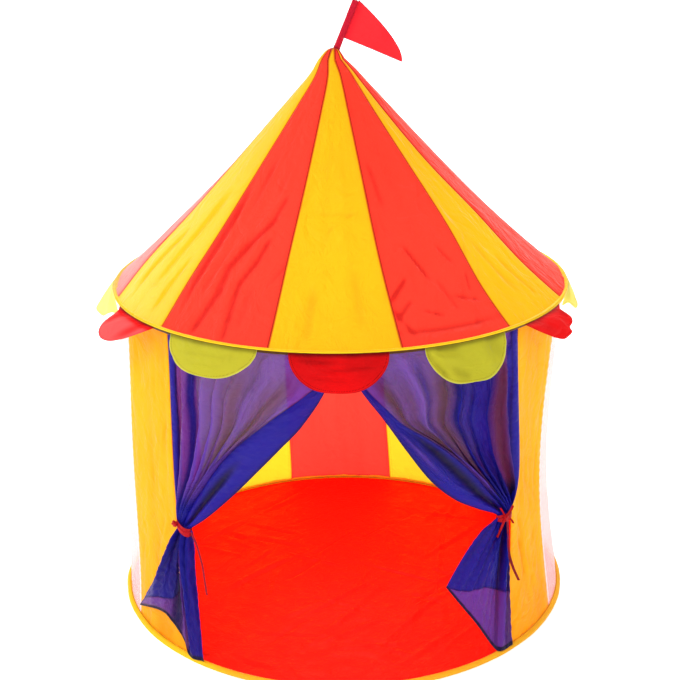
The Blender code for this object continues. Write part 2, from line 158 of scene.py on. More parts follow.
def spread(low, high, steps):
    return [mix(low, high, i / steps) for i in range(steps + 1)]


def crowded(steps):
    """Shares from 0 to 1 that lie closer together at both ends."""
    return [0.5 - 0.5 * math.cos(math.pi * i / steps) for i in range(steps + 1)]


def lookup(pairs, x):
    """A smooth curve through (x, y) pairs."""
    keys = [pair[0] for pair in pairs]
    if x <= keys[0]:
        return pairs[0][1]
    if x >= keys[-1]:
        return pairs[-1][1]
    i = bisect.bisect_right(keys, x) - 1
    slopes = []
    for j in (i, i + 1):
        before, after = pairs[max(j - 1, 0)], pairs[min(j + 1, len(pairs) - 1)]
        slopes.append((after[1] - before[1]) / (after[0] - before[0]))
    width = keys[i + 1] - keys[i]
    t = (x - keys[i]) / width
    start, end = pairs[i][1], pairs[i + 1][1]
    return (
        (2 * t**3 - 3 * t**2 + 1) * start
        + (t**3 - 2 * t**2 + t) * width * slopes[0]
        + (3 * t**2 - 2 * t**3) * end
        + (t**3 - t**2) * width * slopes[1]
    )


def smooth_route(points, steps):
    """Vectors on a smooth curve through the points, steps to each stretch."""
    ends = [2 * points[0] - points[1], *points, 2 * points[-1] - points[-2]]
    route = []
    for a, b, c, d in zip(ends, ends[1:], ends[2:], ends[3:]):
        for i in range(steps):
            t = i / steps
            route.append(
                0.5 * ((2 * b) + (c - a) * t + (2 * a - 5 * b + 4 * c - d) * t**2
                       + (3 * b - a - 3 * c + d) * t**3)
            )
    route.append(points[-1])
    return route


def wave(x, y=0.0, seed=0.0):
    """Soft noise from about -1 to 1."""
    return noise.noise(Vector((x, y, seed)))


def crease(x, y=0.0, seed=0.0):
    """Noise from 0 to 1 with sharp low lines, like creased cloth."""
    return min(1.0, abs(wave(x, y, seed)) * 1.8)


def stroke_depth(strokes, x, y):
    """How deep a place lies in creases, each (x, y, x, y, depth, half width) in metres."""
    total = 0.0
    for ax, ay, bx, by, depth, half in strokes:
        run, rise = bx - ax, by - ay
        reach = math.hypot(run, rise)
        share = ((x - ax) * run + (y - ay) * rise) / reach**2
        off = ((x - ax) * rise - (y - ay) * run) / reach / half
        if not -0.25 < share < 1.25 or abs(off) > 4:
            continue
        ends = ease(min(share + 0.25, 1.25 - share) / 0.45)
        total += 1.5 * depth * ends * (bell(off, 0, 1) - 0.55 * bell(off, 1.8, 1.1))
    return total


def scattered(seed, count, wide, tall, lean, reach, depth, half):
    """Creases scattered over a panel; lean is from its length, in degrees."""
    pick = random.Random(seed)
    strokes = []
    for _ in range(count):
        x, y = pick.uniform(0.08, 0.92) * wide, pick.uniform(0.06, 0.94) * tall
        turn = math.radians(pick.gauss(lean, 15))
        long = pick.uniform(0.5, 1.4) * reach / 2
        across, along = long * math.sin(turn), long * math.cos(turn)
        deep = pick.uniform(0.4, 1.2) * depth * pick.choice((-1, 1))
        width = pick.uniform(0.7, 1.4) * half
        strokes.append((x - across, y - along, x + across, y + along, deep, width))
    return strokes


# Camera


def place_camera():
    yaw, pitch, roll = (math.radians(a) for a in (CAMERA_YAW, CAMERA_PITCH, CAMERA_ROLL))
    ahead = Vector((-math.sin(yaw), math.cos(yaw), 0))
    right = Vector((math.cos(yaw), math.sin(yaw), 0))
    above = Vector((0, 0, 1))
    forward = ahead * math.cos(pitch) - above * math.sin(pitch)
    up = above * math.cos(pitch) + ahead * math.sin(pitch)
    side = right * math.cos(roll) + up * math.sin(roll)
    top = up * math.cos(roll) - right * math.sin(roll)
    camera = bpy.data.objects.new("camera", bpy.data.cameras.new("camera"))
    camera.data.lens = CAMERA_LENS
    camera.data.sensor_width = 36
    camera.data.dof.use_dof = False
    camera.matrix_world = Matrix((side, top, -forward)).transposed().to_4x4()
    camera.location = CAMERA_PLACE
    bpy.context.scene.collection.objects.link(camera)
    bpy.context.scene.camera = camera


# Materials


class Graph:
    """Makes nodes in one material's tree."""

    def __init__(self, name):
        self.material = bpy.data.materials.new(name)
        self.material.use_nodes = True
        self.tree = self.material.node_tree
        self.tree.nodes.clear()

    def add(self, kind, inputs=None, **settings):
        made = self.tree.nodes.new(kind)
        for key, value in settings.items():
            setattr(made, key, value)
        for key, value in (inputs or {}).items():
            if isinstance(value, bpy.types.NodeSocket):
                self.tree.links.new(value, made.inputs[key])
            else:
                made.inputs[key].default_value = value
        return made

    def calc(self, operation, *values, clamp=False):
        inputs = dict(enumerate(values))
        made = self.add("ShaderNodeMath", inputs, operation=operation, use_clamp=clamp)
        return made.outputs[0]

    def ramp(self, value, low, high, start=0.0, end=1.0):
        """start where value is at or below low, end where it is at or above high."""
        inputs = {0: value, 1: low, 2: high, 3: start, 4: end}
        made = self.add("ShaderNodeMapRange", inputs, interpolation_type="SMOOTHSTEP")
        return made.outputs[0]

    def tint(self, share, first, second, blend="MIX"):
        inputs = {0: share, 6: first, 7: second}
        made = self.add("ShaderNodeMix", inputs, data_type="RGBA", blend_type=blend)
        return made.outputs[2]

    def noise(self, place, scale, detail=2.0, rough=0.5, warp=0.0):
        inputs = {"Vector": place, "Scale": scale, "Detail": detail}
        inputs |= {"Roughness": rough, "Distortion": warp}
        return self.add("ShaderNodeTexNoise", inputs).outputs[0]

    def finish(self, shader):
        self.add("ShaderNodeOutputMaterial", {"Surface": shader})
        return self.material


def rgba(colour, share=1.0):
    return (*(min(1.0, c * share) for c in colour), 1.0)


def cloth_height(g, place, across, along, pitch, creasing):
    """The weave and the creases as one height, in metres."""
    turn = math.tau / pitch
    warp = g.calc("SINE", g.calc("MULTIPLY", across, turn))
    weft = g.calc("SINE", g.calc("MULTIPLY", along, turn))
    height = g.calc("MULTIPLY", g.calc("MULTIPLY", warp, weft), 0.00004)
    for scale, depth in ((11.0, 0.015), (34.0, 0.0045)):
        folded = g.noise(place, scale, 3.0, 0.55, 0.7)
        ridge = g.calc("ABSOLUTE", g.calc("SUBTRACT", folded, 0.5))
        height = g.calc("MULTIPLY_ADD", ridge, depth * creasing, height)
    return height


def bumped(g, height, strength=1.0):
    inputs = {"Height": height, "Strength": strength, "Distance": 1.0}
    return g.add("ShaderNodeBump", inputs).outputs[0]


def cloth_material(name, colour, deep, **look):
    """A thin woven polyester.

    The mesh's "cloth" holds (across, along, distance from the seam) and its painted shade value how far
    the colour goes to deep, the painted shade colour for folds and shaded places, or below 0 to
    the painted light colour. Looks: seam (colour along the seam),
    through (share of light let through), rough, sheen, shine, pitch (of the weave),
    creasing, stitches (their distance from the seam), thread and edge_width.
    """
    seam = look.get("seam", deep)
    g = Graph(name)
    place = g.add("ShaderNodeAttribute", attribute_name="cloth").outputs["Vector"]
    split = g.add("ShaderNodeSeparateXYZ", {0: place}).outputs
    across, along, edge = split[0], split[1], split[2]
    painted_shade = g.add("ShaderNodeAttribute", attribute_name="painted_shade").outputs["Fac"]
    height = cloth_height(
        g, place, across, along, look.get("pitch", 0.0014), look.get("creasing", 1.0)
    )
    bump = bumped(g, height, look.get("bump", 0.8))
    shade = g.tint(g.noise(place, 5.0, 3.0), rgba(colour, 0.9), rgba(colour, 1.05))
    # Painted shade takes the colour towards deep, and painted light (values below 0) towards the painted light
    # colour.
    shade = g.tint(g.ramp(painted_shade, 0.0, 1.0), shade, rgba(deep))
    if look.get("pale"):
        shade = g.tint(g.ramp(painted_shade, -1.0, 0.0, 1.0, 0.0), shade, rgba(look["pale"]))
    width = look.get("edge_width", 0.0035)
    near_seam = g.ramp(edge, width * 0.35, width, look.get("seam_share", 0.9), 0.0)
    shade = g.tint(near_seam, shade, rgba(seam))
    if look.get("stitches"):
        line = g.calc("ABSOLUTE", g.calc("SUBTRACT", edge, look["stitches"]))
        line = g.ramp(line, 0.0003, 0.0009, 1.0, 0.0)
        dash = g.calc("FRACT", g.calc("DIVIDE", g.calc("ADD", along, across), 0.0045))
        dash = g.calc("LESS_THAN", dash, 0.62)
        line = g.calc("MULTIPLY", g.calc("MULTIPLY", line, dash), 0.6)
        shade = g.tint(line, shade, rgba(look.get("thread", deep)))
    rough = look.get("rough", 0.58)
    roughness = g.ramp(g.noise(place, 22.0), 0.3, 0.7, rough - 0.08, rough + 0.08)
    surface = g.add(
        "ShaderNodeBsdfPrincipled",
        {
            "Base Color": shade,
            "Roughness": roughness,
            "Normal": bump,
            "Specular IOR Level": look.get("shine", 0.12),
            "Sheen Weight": look.get("sheen", 0.30),
            "Sheen Roughness": 0.25,
        },
    ).outputs[0]
    through = look.get("through", 0.35)
    if through:
        glow = g.add("ShaderNodeBsdfTranslucent", {"Color": shade, "Normal": bump})
        inputs = {0: through, 1: surface, 2: glow.outputs[0]}
        surface = g.add("ShaderNodeMixShader", inputs).outputs[0]
    return g.finish(surface)


def sheer_material(name, colour, thin, deep):
    """A sheer curtain, thin where it is single; its "cloth" holds (across, along, cover), and its painted shade
    takes it to deep.
    """
    g = Graph(name)
    place = g.add("ShaderNodeAttribute", attribute_name="cloth").outputs["Vector"]
    split = g.add("ShaderNodeSeparateXYZ", {0: place}).outputs
    across, along, cover = split[0], split[1], split[2]
    painted_shade = g.add("ShaderNodeAttribute", attribute_name="painted_shade").outputs["Fac"]
    bump = bumped(g, cloth_height(g, place, across, along, 0.0016, 1.0), 0.8)
    shade = g.tint(g.noise(place, 7.0, 3.0), rgba(colour, 0.8), rgba(colour, 1.15))
    lined = g.ramp(cover, 0.2, 0.9)
    shade = g.tint(lined, rgba(thin), shade)
    # Painted shade colours: wine-brown where the cloth is single, deep where it is doubled.
    painted_shade_colour = g.tint(lined, rgba((0.075, 0.014, 0.066)), rgba(deep))
    shade = g.tint(g.ramp(painted_shade, 0.0, 1.0), shade, painted_shade_colour)
    surface = g.add(
        "ShaderNodeBsdfPrincipled",
        {
            "Base Color": shade,
            "Roughness": g.ramp(g.noise(place, 30.0), 0.3, 0.7, 0.36, 0.5),
            "Normal": bump,
            "Specular IOR Level": 0.14,
            "Sheen Weight": 0.02,
            "Sheen Roughness": 0.3,
            "Sheen Tint": (0.45, 0.40, 1.0, 1.0),
        },
    ).outputs[0]
    glow = g.add("ShaderNodeBsdfTranslucent", {"Color": shade, "Normal": bump})
    cloth = g.add("ShaderNodeMixShader", {0: 0.25, 1: surface, 2: glow.outputs[0]})
    clear = g.add("ShaderNodeBsdfTransparent")
    threads = g.calc("SINE", g.calc("MULTIPLY", across, math.tau / 0.0016))
    solid = g.ramp(cover, 0.0, 1.0, 0.945, 1.0)
    solid = g.calc("MULTIPLY_ADD", threads, 0.02, solid, clamp=True)
    inputs = {0: solid, 1: clear.outputs[0], 2: cloth.outputs[0]}
    return g.finish(g.add("ShaderNodeMixShader", inputs).outputs[0])


def net_material(name, colour):
    """White netting with round holes, plain along its seams."""
    g = Graph(name)
    place = g.add("ShaderNodeAttribute", attribute_name="cloth").outputs["Vector"]
    split = g.add("ShaderNodeSeparateXYZ", {0: place}).outputs
    turn = math.tau / 0.0026
    warp = g.calc("COSINE", g.calc("MULTIPLY", split[0], turn))
    weft = g.calc("COSINE", g.calc("MULTIPLY", split[1], turn))
    mesh = g.calc("ADD", warp, weft)
    hole = g.ramp(mesh, 0.0, 0.9)
    rim = g.ramp(split[2], 0.004, 0.006)
    hole = g.calc("MULTIPLY", hole, rim)
    cloudy = g.noise(place, 6.0, 3.0)
    shade = g.tint(cloudy, rgba(colour, 0.93), rgba(colour))
    height = g.calc("MULTIPLY", g.noise(place, 14.0, 3.0), 0.01)
    bump = bumped(g, g.calc("MULTIPLY_ADD", hole, 0.0003, height))
    surface = g.add(
        "ShaderNodeBsdfPrincipled",
        {"Base Color": shade, "Roughness": 0.6, "Normal": bump, "Sheen Weight": 0.2},
    ).outputs[0]
    glow = g.add("ShaderNodeBsdfTranslucent", {"Color": shade, "Normal": bump})
    cloth = g.add("ShaderNodeMixShader", {0: 0.4, 1: surface, 2: glow.outputs[0]})
    clear = g.add("ShaderNodeBsdfTransparent")
    inputs = {0: g.calc("MULTIPLY", hole, 0.8), 1: cloth.outputs[0], 2: clear.outputs[0]}
    return g.finish(g.add("ShaderNodeMixShader", inputs).outputs[0])


def hard_material(name, colour, rough, metallic, grain):
    """Wire or plastic, with fine lines round it and worn patches."""
    g = Graph(name)
    place = g.add("ShaderNodeTexCoord").outputs["Object"]
    fine = g.noise(place, grain, 3.0)
    worn = g.noise(place, 9.0, 4.0)
    shade = g.tint(g.ramp(worn, 0.35, 0.7), rgba(colour, 0.8), rgba(colour))
    bump = g.add("ShaderNodeBump", {"Height": fine, "Strength": 0.2, "Distance": 0.0003})
    surface = g.add(
        "ShaderNodeBsdfPrincipled",
        {
            "Base Color": shade,
            "Roughness": g.ramp(fine, 0.3, 0.7, rough - 0.08, rough + 0.08),
            "Metallic": metallic,
            "Normal": bump.outputs[0],
        },
    )
    return g.finish(surface.outputs[0])


# Cloth colours, with painted shade colours for the yellow, red and lemon cloths.
YELLOW = (0.97, 0.55, 0.006)
YELLOW_IN_SHADE = (0.90, 0.36, 0.004)
WALL_YELLOW = (0.95, 0.50, 0.008)
BACK_YELLOW = (0.98, 0.84, 0.030)
RED = (0.92, 0.052, 0.028)
BACK_RED = (0.92, 0.066, 0.045)
RED_IN_SHADE = (0.55, 0.010, 0.008)
LIME = (0.60, 0.56, 0.028)
LEMON = (0.95, 0.60, 0.008)
LEMON_IN_SHADE = (0.90, 0.42, 0.02)

# In each cloth the second colour is its painted shade colour for folds and shaded places, and the painted light
# colour, where given, is what it turns to where light is painted on.
materials = {
    "yellow": cloth_material(
        "yellow_polyester", YELLOW, YELLOW_IN_SHADE, seam=(0.55, 0.11, 0.003), pale=(1.0, 0.78, 0.15),
    ),
    "red": cloth_material(
        "red_polyester", RED, RED_IN_SHADE, seam=(0.34, 0.008, 0.004), pale=(0.95, 0.42, 0.42),
    ),
    "wall": cloth_material(
        "yellow_wall", WALL_YELLOW, (0.85, 0.30, 0.004), seam=(0.80, 0.33, 0.006),
        stitches=0.007, through=0.4, seam_share=0.7,
    ),
    "back": cloth_material(
        "yellow_back_wall", BACK_YELLOW, (0.9, 0.5, 0.01), seam=(0.80, 0.33, 0.006),
        stitches=0.007, through=0.5, seam_share=0.7,
    ),
    "red_wall": cloth_material(
        "red_wall", BACK_RED, RED_IN_SHADE, stitches=0.007, through=0.5, seam_share=0.6
    ),
    "floor": cloth_material(
        "red_groundsheet", (0.97, 0.008, 0.003), (0.70, 0.004, 0.002), through=0.0,
        rough=0.6, creasing=0.8, edge_width=0.005, sheen=0.0, shine=0.08,
    ),
    "lemon": cloth_material(
        "lemon_tape", LEMON, LEMON_IN_SHADE, seam=(0.50, 0.24, 0.006), through=0.2,
        stitches=0.0045, edge_width=0.0012, creasing=0.7,
    ),
    "eave": cloth_material(
        "eave_tape", LEMON, (0.05, 0.010, 0.003), seam=(0.62, 0.30, 0.006), through=0.1,
        edge_width=0.0010, creasing=0.7, pale=(0.56, 0.43, 0.07),
    ),
    "lime": cloth_material(
        "lime_polyester", LIME, (0.22, 0.19, 0.008), seam=(0.80, 0.78, 0.20),
        stitches=0.004, edge_width=0.0013, seam_share=0.4, pale=(1.0, 0.98, 0.24),
    ),
    "flap_red": cloth_material(
        "red_flap", (0.72, 0.004, 0.005), (0.13, 0.001, 0.002), stitches=0.004,
        sheen=0.06, shine=0.06, seam=(0.34, 0.006, 0.010), edge_width=0.0014, seam_share=0.6, pale=(1.0, 0.16, 0.17),
    ),
    "flag": cloth_material(
        "pennant_cloth", (0.93, 0.022, 0.030), (0.62, 0.008, 0.020),
        seam=(0.16, 0.008, 0.05), edge_width=0.0020, through=0.25,
    ),
    "sleeve": cloth_material(
        "sleeve_cloth", (0.52, 0.006, 0.026), (0.22, 0.003, 0.015), through=0.1,
        seam=(0.16, 0.004, 0.02), edge_width=0.0015, sheen=0.05,
    ),
    "ribbon": cloth_material(
        "satin_ribbon", (0.46, 0.003, 0.009), (0.16, 0.001, 0.004), rough=0.42,
        shine=0.12, sheen=0.02, edge_width=0.0009, pitch=0.0007, through=0.1,
    ),
    # A darker copy of the ribbon: painted shade for the hanging ends.
    "ribbon_in_shade": cloth_material(
        "satin_ribbon_end", (0.24, 0.003, 0.018), (0.10, 0.001, 0.006), rough=0.42,
        shine=0.12, sheen=0.02, edge_width=0.0009, pitch=0.0007, through=0.1,
    ),
    "sheer": sheer_material(
        "blue_sheer_polyester", (0.010, 0.007, 0.28), (0.105, 0.036, 0.36), (0.003, 0.002, 0.035)
    ),
    "net": net_material("white_net", (0.94, 0.89, 0.94)),
    "steel": hard_material("spring_steel", (0.45, 0.45, 0.47), 0.35, 1.0, 900.0),
    "plastic": hard_material("white_rod", (0.83, 0.83, 0.80), 0.42, 0.0, 400.0),
}


# Meshes


def grid_piece(name, us, vs, point_at, material, ring_u=False, ring_v=False):
    """Cloth over every (u, v); point_at gives a place, its "cloth" values and its painted shade (below 0, painted
    light).
    """
    points, cloth, folds = [], [], []
    for v in vs:
        for u in us:
            place, coordinates, *painted_shade = point_at(u, v)
            points.append(place)
            cloth.append(coordinates)
            folds.append(painted_shade[0] if painted_shade else 0.0)
    columns, rows = len(us), len(vs)
    faces = []
    for r in range(rows if ring_v else rows - 1):
        for c in range(columns if ring_u else columns - 1):
            here, above = r * columns, (r + 1) % rows * columns
            right = (c + 1) % columns
            faces.append((here + c, here + right, above + right, above + c))
    mesh = bpy.data.meshes.new(name)
    mesh.from_pydata([tuple(p) for p in points], [], faces)
    mesh.attributes.new("cloth", "FLOAT_VECTOR", "POINT")
    mesh.attributes["cloth"].data.foreach_set("vector", [x for p in cloth for x in p])
    mesh.attributes.new("painted_shade", "FLOAT", "POINT")
    mesh.attributes["painted_shade"].data.foreach_set("value", folds)
    mesh.shade_smooth()
    obj = bpy.data.objects.new(name, mesh)
    bpy.context.scene.collection.objects.link(obj)
    mesh.materials.append(materials[material])
    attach(obj, "root")
    return obj


def strip(name, route, sides, width, material, crown=0.0, columns=6):
    """A ribbon along a route; sides are the directions of its width."""
    lengths = [0.0]
    for a, b in zip(route, route[1:]):
        lengths.append(lengths[-1] + (b - a).length)
    last = len(route) - 1

    def point_at(u, v):
        i = min(int(v * last + 0.5), last)
        ahead = route[min(i + 1, last)] - route[max(i - 1, 0)]
        face = ahead.cross(sides[i]).normalized()
        off = u - 0.5
        place = route[i] + sides[i] * off * width + face * crown * (1 - 4 * off * off)
        edge = (0.5 - abs(off)) * width
        return place, (u * width, lengths[i], edge)

    return grid_piece(
        name, spread(0, 1, columns), spread(0, 1, last), point_at, material
    )


# Cords: the ribbon ends that hang from the ties


def build_tail(name, spots, width_turn, flutter):
    """A flat ribbon end; width_turn is where its width points at its top, in degrees."""
    points = [polar(*spot) for spot in spots]
    route = smooth_route(points, 8)
    sides = []
    for i, spot in enumerate(route):
        share = i / (len(route) - 1)
        ahead = (route[min(i + 1, len(route) - 1)] - route[max(i - 1, 0)]).normalized()
        turn = math.radians(width_turn + flutter * share)
        side = polar(math.degrees(math.atan2(spot.x, -spot.y)) + 90, 1, 0)
        side = side * math.cos(turn) + outward(45) * math.sin(turn)
        side = (side - ahead * side.dot(ahead)).normalized()
        sides.append(side)
    tail = strip(name, route, sides, RIBBON_WIDTH, "ribbon_in_shade", 0.0004)
    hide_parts(name)
    return tail


# Floor, hem and eave binding


def build_floor():
    edge = 0.5118
    strokes = scattered(5, 46, 1.0, 1.0, 35, 0.16, 0.0024, 0.006)
    strokes += scattered(6, 22, 1.0, 1.0, -60, 0.13, 0.0020, 0.005)

    def point_at(u, v):
        angle, radius = 360 * u, edge * (1 - (1 - v) ** 1.1)
        spot = polar(angle, radius, 0.0)
        x, y = spot.x, spot.y
        fade = ease((edge - radius) / 0.04)
        slack = 0.0018 * (1 + wave(6 * x, 6 * y, 4.0)) + 0.0010 * (1 + wave(15 * x, 9 * y, 8.0))
        crinkle = 0.0020 * crease(5.0 * x + 3 * y, 3 * (y - x), 3.0)
        marks = stroke_depth(strokes, x + 0.5, y + 0.5)
        spot.z = max(0.0012, 0.0025 + fade * (slack + crinkle + marks))
        # Painted shade in the creases and along the rim by the hem.
        painted_shade = min(1.0, max(0.0, -marks * 160)) * fade * 0.5
        return spot, (x, y, edge - radius), painted_shade + 0.6 * bell(radius, edge, 0.012)

    floor = grid_piece(
        "floor_cloth", spread(0, 1, 300)[:-1], spread(0.004, 1, 110), point_at,
        "floor", ring_u=True,
    )
    fill_centre(floor.data, 300)
    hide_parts("floor_sheet")
    return floor


def fill_centre(mesh, sides):
    """Closes the small hole in the middle of a disc whose first ring comes first."""
    import bmesh

    work = bmesh.new()
    work.from_mesh(mesh)
    work.verts.ensure_lookup_table()
    work.faces.new([work.verts[i] for i in reversed(range(sides))])
    work.to_mesh(mesh)
    work.free()
    mesh.shade_smooth()


HEM_SECTION = [
    (0.5102, 0.0050), (0.5105, 0.0018), (0.5135, 0.0006), (0.5180, 0.0005),
    (0.5212, 0.0020), (0.5222, 0.0046), (0.5212, 0.0075), (0.5185, 0.0098),
    (0.5155, 0.0108), (0.5125, 0.0104), (0.5106, 0.0088), (0.5101, 0.0070),
]


def closed_curve(points, share):
    """The point at this share of a smooth closed curve through the points."""
    count = len(points)
    place = share % 1.0 * count
    i, t = int(place), place - int(place)
    a, b, c, d = (points[(i + k) % count] for k in (-1, 0, 1, 2))
    return [
        0.5 * (2 * q + (r - p) * t + (2 * p - 5 * q + 4 * r - s) * t * t
               + (3 * q - p - 3 * r + s) * t**3)
        for p, q, r, s in zip(a, b, c, d)
    ]


def from_door_foot(angle):
    turn = abs((angle - WALL_CENTRE + 180) % 360 - 180)
    return turn - (DOOR_HALF - DOOR_NARROWING)


def build_hem():
    """The tape round the base hoop: painted shade makes it orange by the doorway and the right and in its gathers,
    lemon elsewhere.
    """

    def point_at(u, v):
        angle = 360 * u - 180
        turn = math.radians(angle)
        radius, height = closed_curve(HEM_SECTION, v)
        by_wall = ease(1 + from_door_foot(angle) / 5)
        band = bell(v, 0.5, 0.22)
        gather = wave(70 * math.sin(turn), 70 * math.cos(turn), 2.0)
        gather += 0.6 * wave(150 * math.sin(turn), 150 * math.cos(turn), 5.0)
        slow = wave(6 * math.sin(turn), 6 * math.cos(turn), 9.0)
        radius += band * (0.0006 * gather + 0.0014 * slow * by_wall)
        height += bell(v, 0.68, 0.16) * (0.0005 * gather + 0.0016 * by_wall)
        # Painted shade: orange away from the left side and in the gathers.
        left = ease((math.degrees(math.asin(math.sin(turn))) * -1 - 20) / 25)
        painted_hem_shade = 0.75 * (1 - left) + 0.15 * gather
        edge = abs(v - 0.72) * 0.04
        around = BASE_RADIUS * turn
        spot = polar(angle, radius, max(height, 0.0002))
        return spot, (v * 0.034, around, edge), min(max(painted_hem_shade, 0.0), 1.0)

    hem = grid_piece(
        "hem_band", spread(0, 1, 480), spread(0, 0.96, 30), point_at,
        "lemon",
    )
    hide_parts("base_hem")
    return hem


BINDING_MIDDLE = 0.7438
BINDING_SECTION = [
    (0.4963, -0.0035), (0.4985, -0.0062), (0.5025, -0.0066), (0.5062, -0.0048),
    (0.5081, -0.0018), (0.5085, 0.0006), (0.5081, 0.0026), (0.5068, 0.0043),
    (0.5042, 0.0050), (0.5005, 0.0034), (0.4972, 0.0022), (0.4960, 0.0000),
]
SHADE_HEIGHT = 0.7456


def build_binding():
    """The tape round the eave hoop; painted shade darkens its lower half as the roof's shade, and painted light
    turns its left side olive.
    """

    def point_at(u, v):
        angle = 360 * u - 180
        turn = math.radians(angle)
        radius, height = closed_curve(BINDING_SECTION, v)
        gather = wave(80 * math.sin(turn), 80 * math.cos(turn), 12.0)
        slow = wave(5 * math.sin(turn), 5 * math.cos(turn), 15.0)
        radius += 0.0004 * gather
        height += BINDING_MIDDLE + 0.0005 * slow + 0.0003 * gather
        # Painted shadow of the roof on the lower half, strongest at the front; painted light on the left.
        front = 1 - ease((abs(angle) - 40) / 35)
        shade = ease((SHADE_HEIGHT - height) / 0.0012) * mix(0.25, 0.9, front)
        left = ease((-angle - 60) / 25) * 0.6
        edge = abs(v - 0.56) * 0.04
        spot = polar(angle, radius, height)
        return spot, (v * 0.042, EAVE_RADIUS * turn, edge), shade - left * (1 - shade)

    binding = grid_piece(
        "eave_tape", spread(0, 1, 480), spread(0, 0.93, 40), point_at,
        "eave",
    )
    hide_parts("eave_binding")
    return binding


# Wall


def wall_radius(height):
    """The wall cloth's radius, drawn in a little at the waist."""
    if height > WAIST_HEIGHT:
        share = (height - WAIST_HEIGHT) / (WALL_TOP - WAIST_HEIGHT)
        return mix(WALL_WAIST_RADIUS, WALL_TOP_RADIUS, share**2)
    share = (WAIST_HEIGHT - height) / (WAIST_HEIGHT - WALL_FOOT)
    return mix(WALL_WAIST_RADIUS, WALL_FOOT_RADIUS, share**2)


def wall_share(height):
    return min(max((height - WALL_FOOT) / (WALL_TOP - WALL_FOOT), 0.0), 1.0)


def sway(height):
    bend = math.sin(math.pi * wall_share(height)) ** 1.5
    return Vector((-WALL_SWAY * bend, 0, 0))


def door_edge(side, height):
    """The angle of the doorway's edge at this height, before the wall's sway."""
    narrowing = DOOR_NARROWING * max(0.0, (0.732 - height) / 0.732) ** 3
    bow = DOOR_BOW[side] * math.sin(math.pi * wall_share(height) ** 0.8) ** 1.3
    return WALL_CENTRE + side * (DOOR_HALF - narrowing) + bow


def build_wall_panel(node, piece, start, end, material, seed, door_side=0):
    """One sewn panel; start and end are angles, and door_side marks a doorway edge."""
    width = math.radians(end - start) * WALL_TOP_RADIUS
    front = door_side != 0
    tall = WALL_TOP - WALL_FOOT
    strokes = scattered(
        seed, 26 if front else 7, width, tall, 9 if door_side < 0 else -14,
        0.12, 0.0013 if front else 0.0006, 0.0060,
    )
    if front:
        strokes += scattered(seed + 1, 14, width, tall * 0.4, 30, 0.07, 0.0012, 0.0045)
    cell = 0.0042 if front else 0.0065

    def point_at(u, v):
        height = mix(WALL_FOOT, WALL_TOP, v)
        low = door_edge(1, height) if door_side > 0 else start
        high = door_edge(-1, height) if door_side < 0 else end
        angle = mix(low, high, u)
        across = u * width
        edge = min(u, 1 - u) * width
        hold = ease(edge / 0.025)
        ends = ease(v / 0.08) * ease((1 - v) / 0.08)
        long = wave(across * 14, height * 1.2, seed)
        long += 0.6 * wave(across * 34, height * 2.0, seed + 3)
        pull = crease(across * 9 + height * 2.2, height * 3.0, seed + 6)
        small = wave(across * 42, height * 30, seed + 9)
        marks = stroke_depth(strokes, across, height - WALL_FOOT)
        push = hold * (0.0045 * long * (0.3 + 0.7 * ends) + 0.0030 * ends * (pull - 0.4))
        push += hold * (0.0006 * small + marks)
        pucker = 0.0008 * math.sin(math.tau * height / 0.019 + seed) * ease(edge / 0.002)
        push += pucker * math.exp(-edge / 0.010)
        gather = wave(across * 75, 0.0, seed + 12) * 0.0013 * hold
        push += gather * (math.exp(-v / 0.05) + math.exp(-(1 - v) / 0.05))
        push -= 0.0014 * bell(edge, 0, 0.0028)
        push -= 0.0030 * math.sin(math.pi * u) * math.sin(math.pi * v)
        # Painted shade, towards the orange fold colour: in the long folds and creases and under the flaps at the
        # top, and more orange towards the bottom; weaker away from the doorway.
        painted_wall_shade = 0.30 * (0.5 - 1.6 * long) * hold + max(0.0, -marks * 130)
        painted_wall_shade += 0.45 * ease((0.20 - height) / 0.2) * (0.6 + 0.6 * wave(across * 8, height * 9, 2))
        painted_wall_shade += 0.40 * ease((height - 0.66) / 0.08)
        painted_wall_shade *= 1.0 if front else 0.35
        spot = polar(angle, wall_radius(height) + push, height) + sway(height)
        edge = min(edge, (1 - v) * tall + 0.003, v * tall + 0.003)
        return spot, (across, height, edge), min(max(painted_wall_shade, 0.0), 1.0) * 0.8

    panel = grid_piece(
        piece, crowded(round(width / cell)), spread(0, 1, round(tall / cell)),
        point_at, material,
    )
    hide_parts(node)
    return panel


def build_walls():
    panels = (
        ("front_panel", "front_wall", DOOR_HALF, FRONT_SEAM, "wall", "yellow_cloth"),
        ("net_window", "net_wall", FRONT_SEAM, NET_SEAM, "net", "net"),
        ("red_panel", "red_wall", NET_SEAM, SIDE_SEAM, "red_wall", "red_cloth"),
        ("back_panel", "back_wall", SIDE_SEAM, BACK_SEAM, "back", "yellow_cloth"),
    )
    seed = 20.0
    for node, piece, near, far, material, slot in panels:
        edge = 1 if near == DOOR_HALF else 0
        sides = (
            ("_left", WALL_CENTRE - far, WALL_CENTRE - near, -edge),
            ("_right", WALL_CENTRE + near, WALL_CENTRE + far, edge),
        )
        for tail, start, end, door_side in sides:
            build_wall_panel(
                node + tail, piece + tail, start, end, material, seed, door_side
            )
            seed += 17.0
    build_wall_panel(
        "back_centre_panel", "back_wall_centre", WALL_CENTRE + BACK_SEAM,
        WALL_CENTRE + 360 - BACK_SEAM, "red_wall", seed,
    )


# Roof


SLANT = math.hypot(ROOF_FOOT_RADIUS - ROOF_TOP_RADIUS, APEX_HEIGHT - ROOF_FOOT_HEIGHT)
GORE_WIDTH = math.tau / GORES * ROOF_FOOT_RADIUS

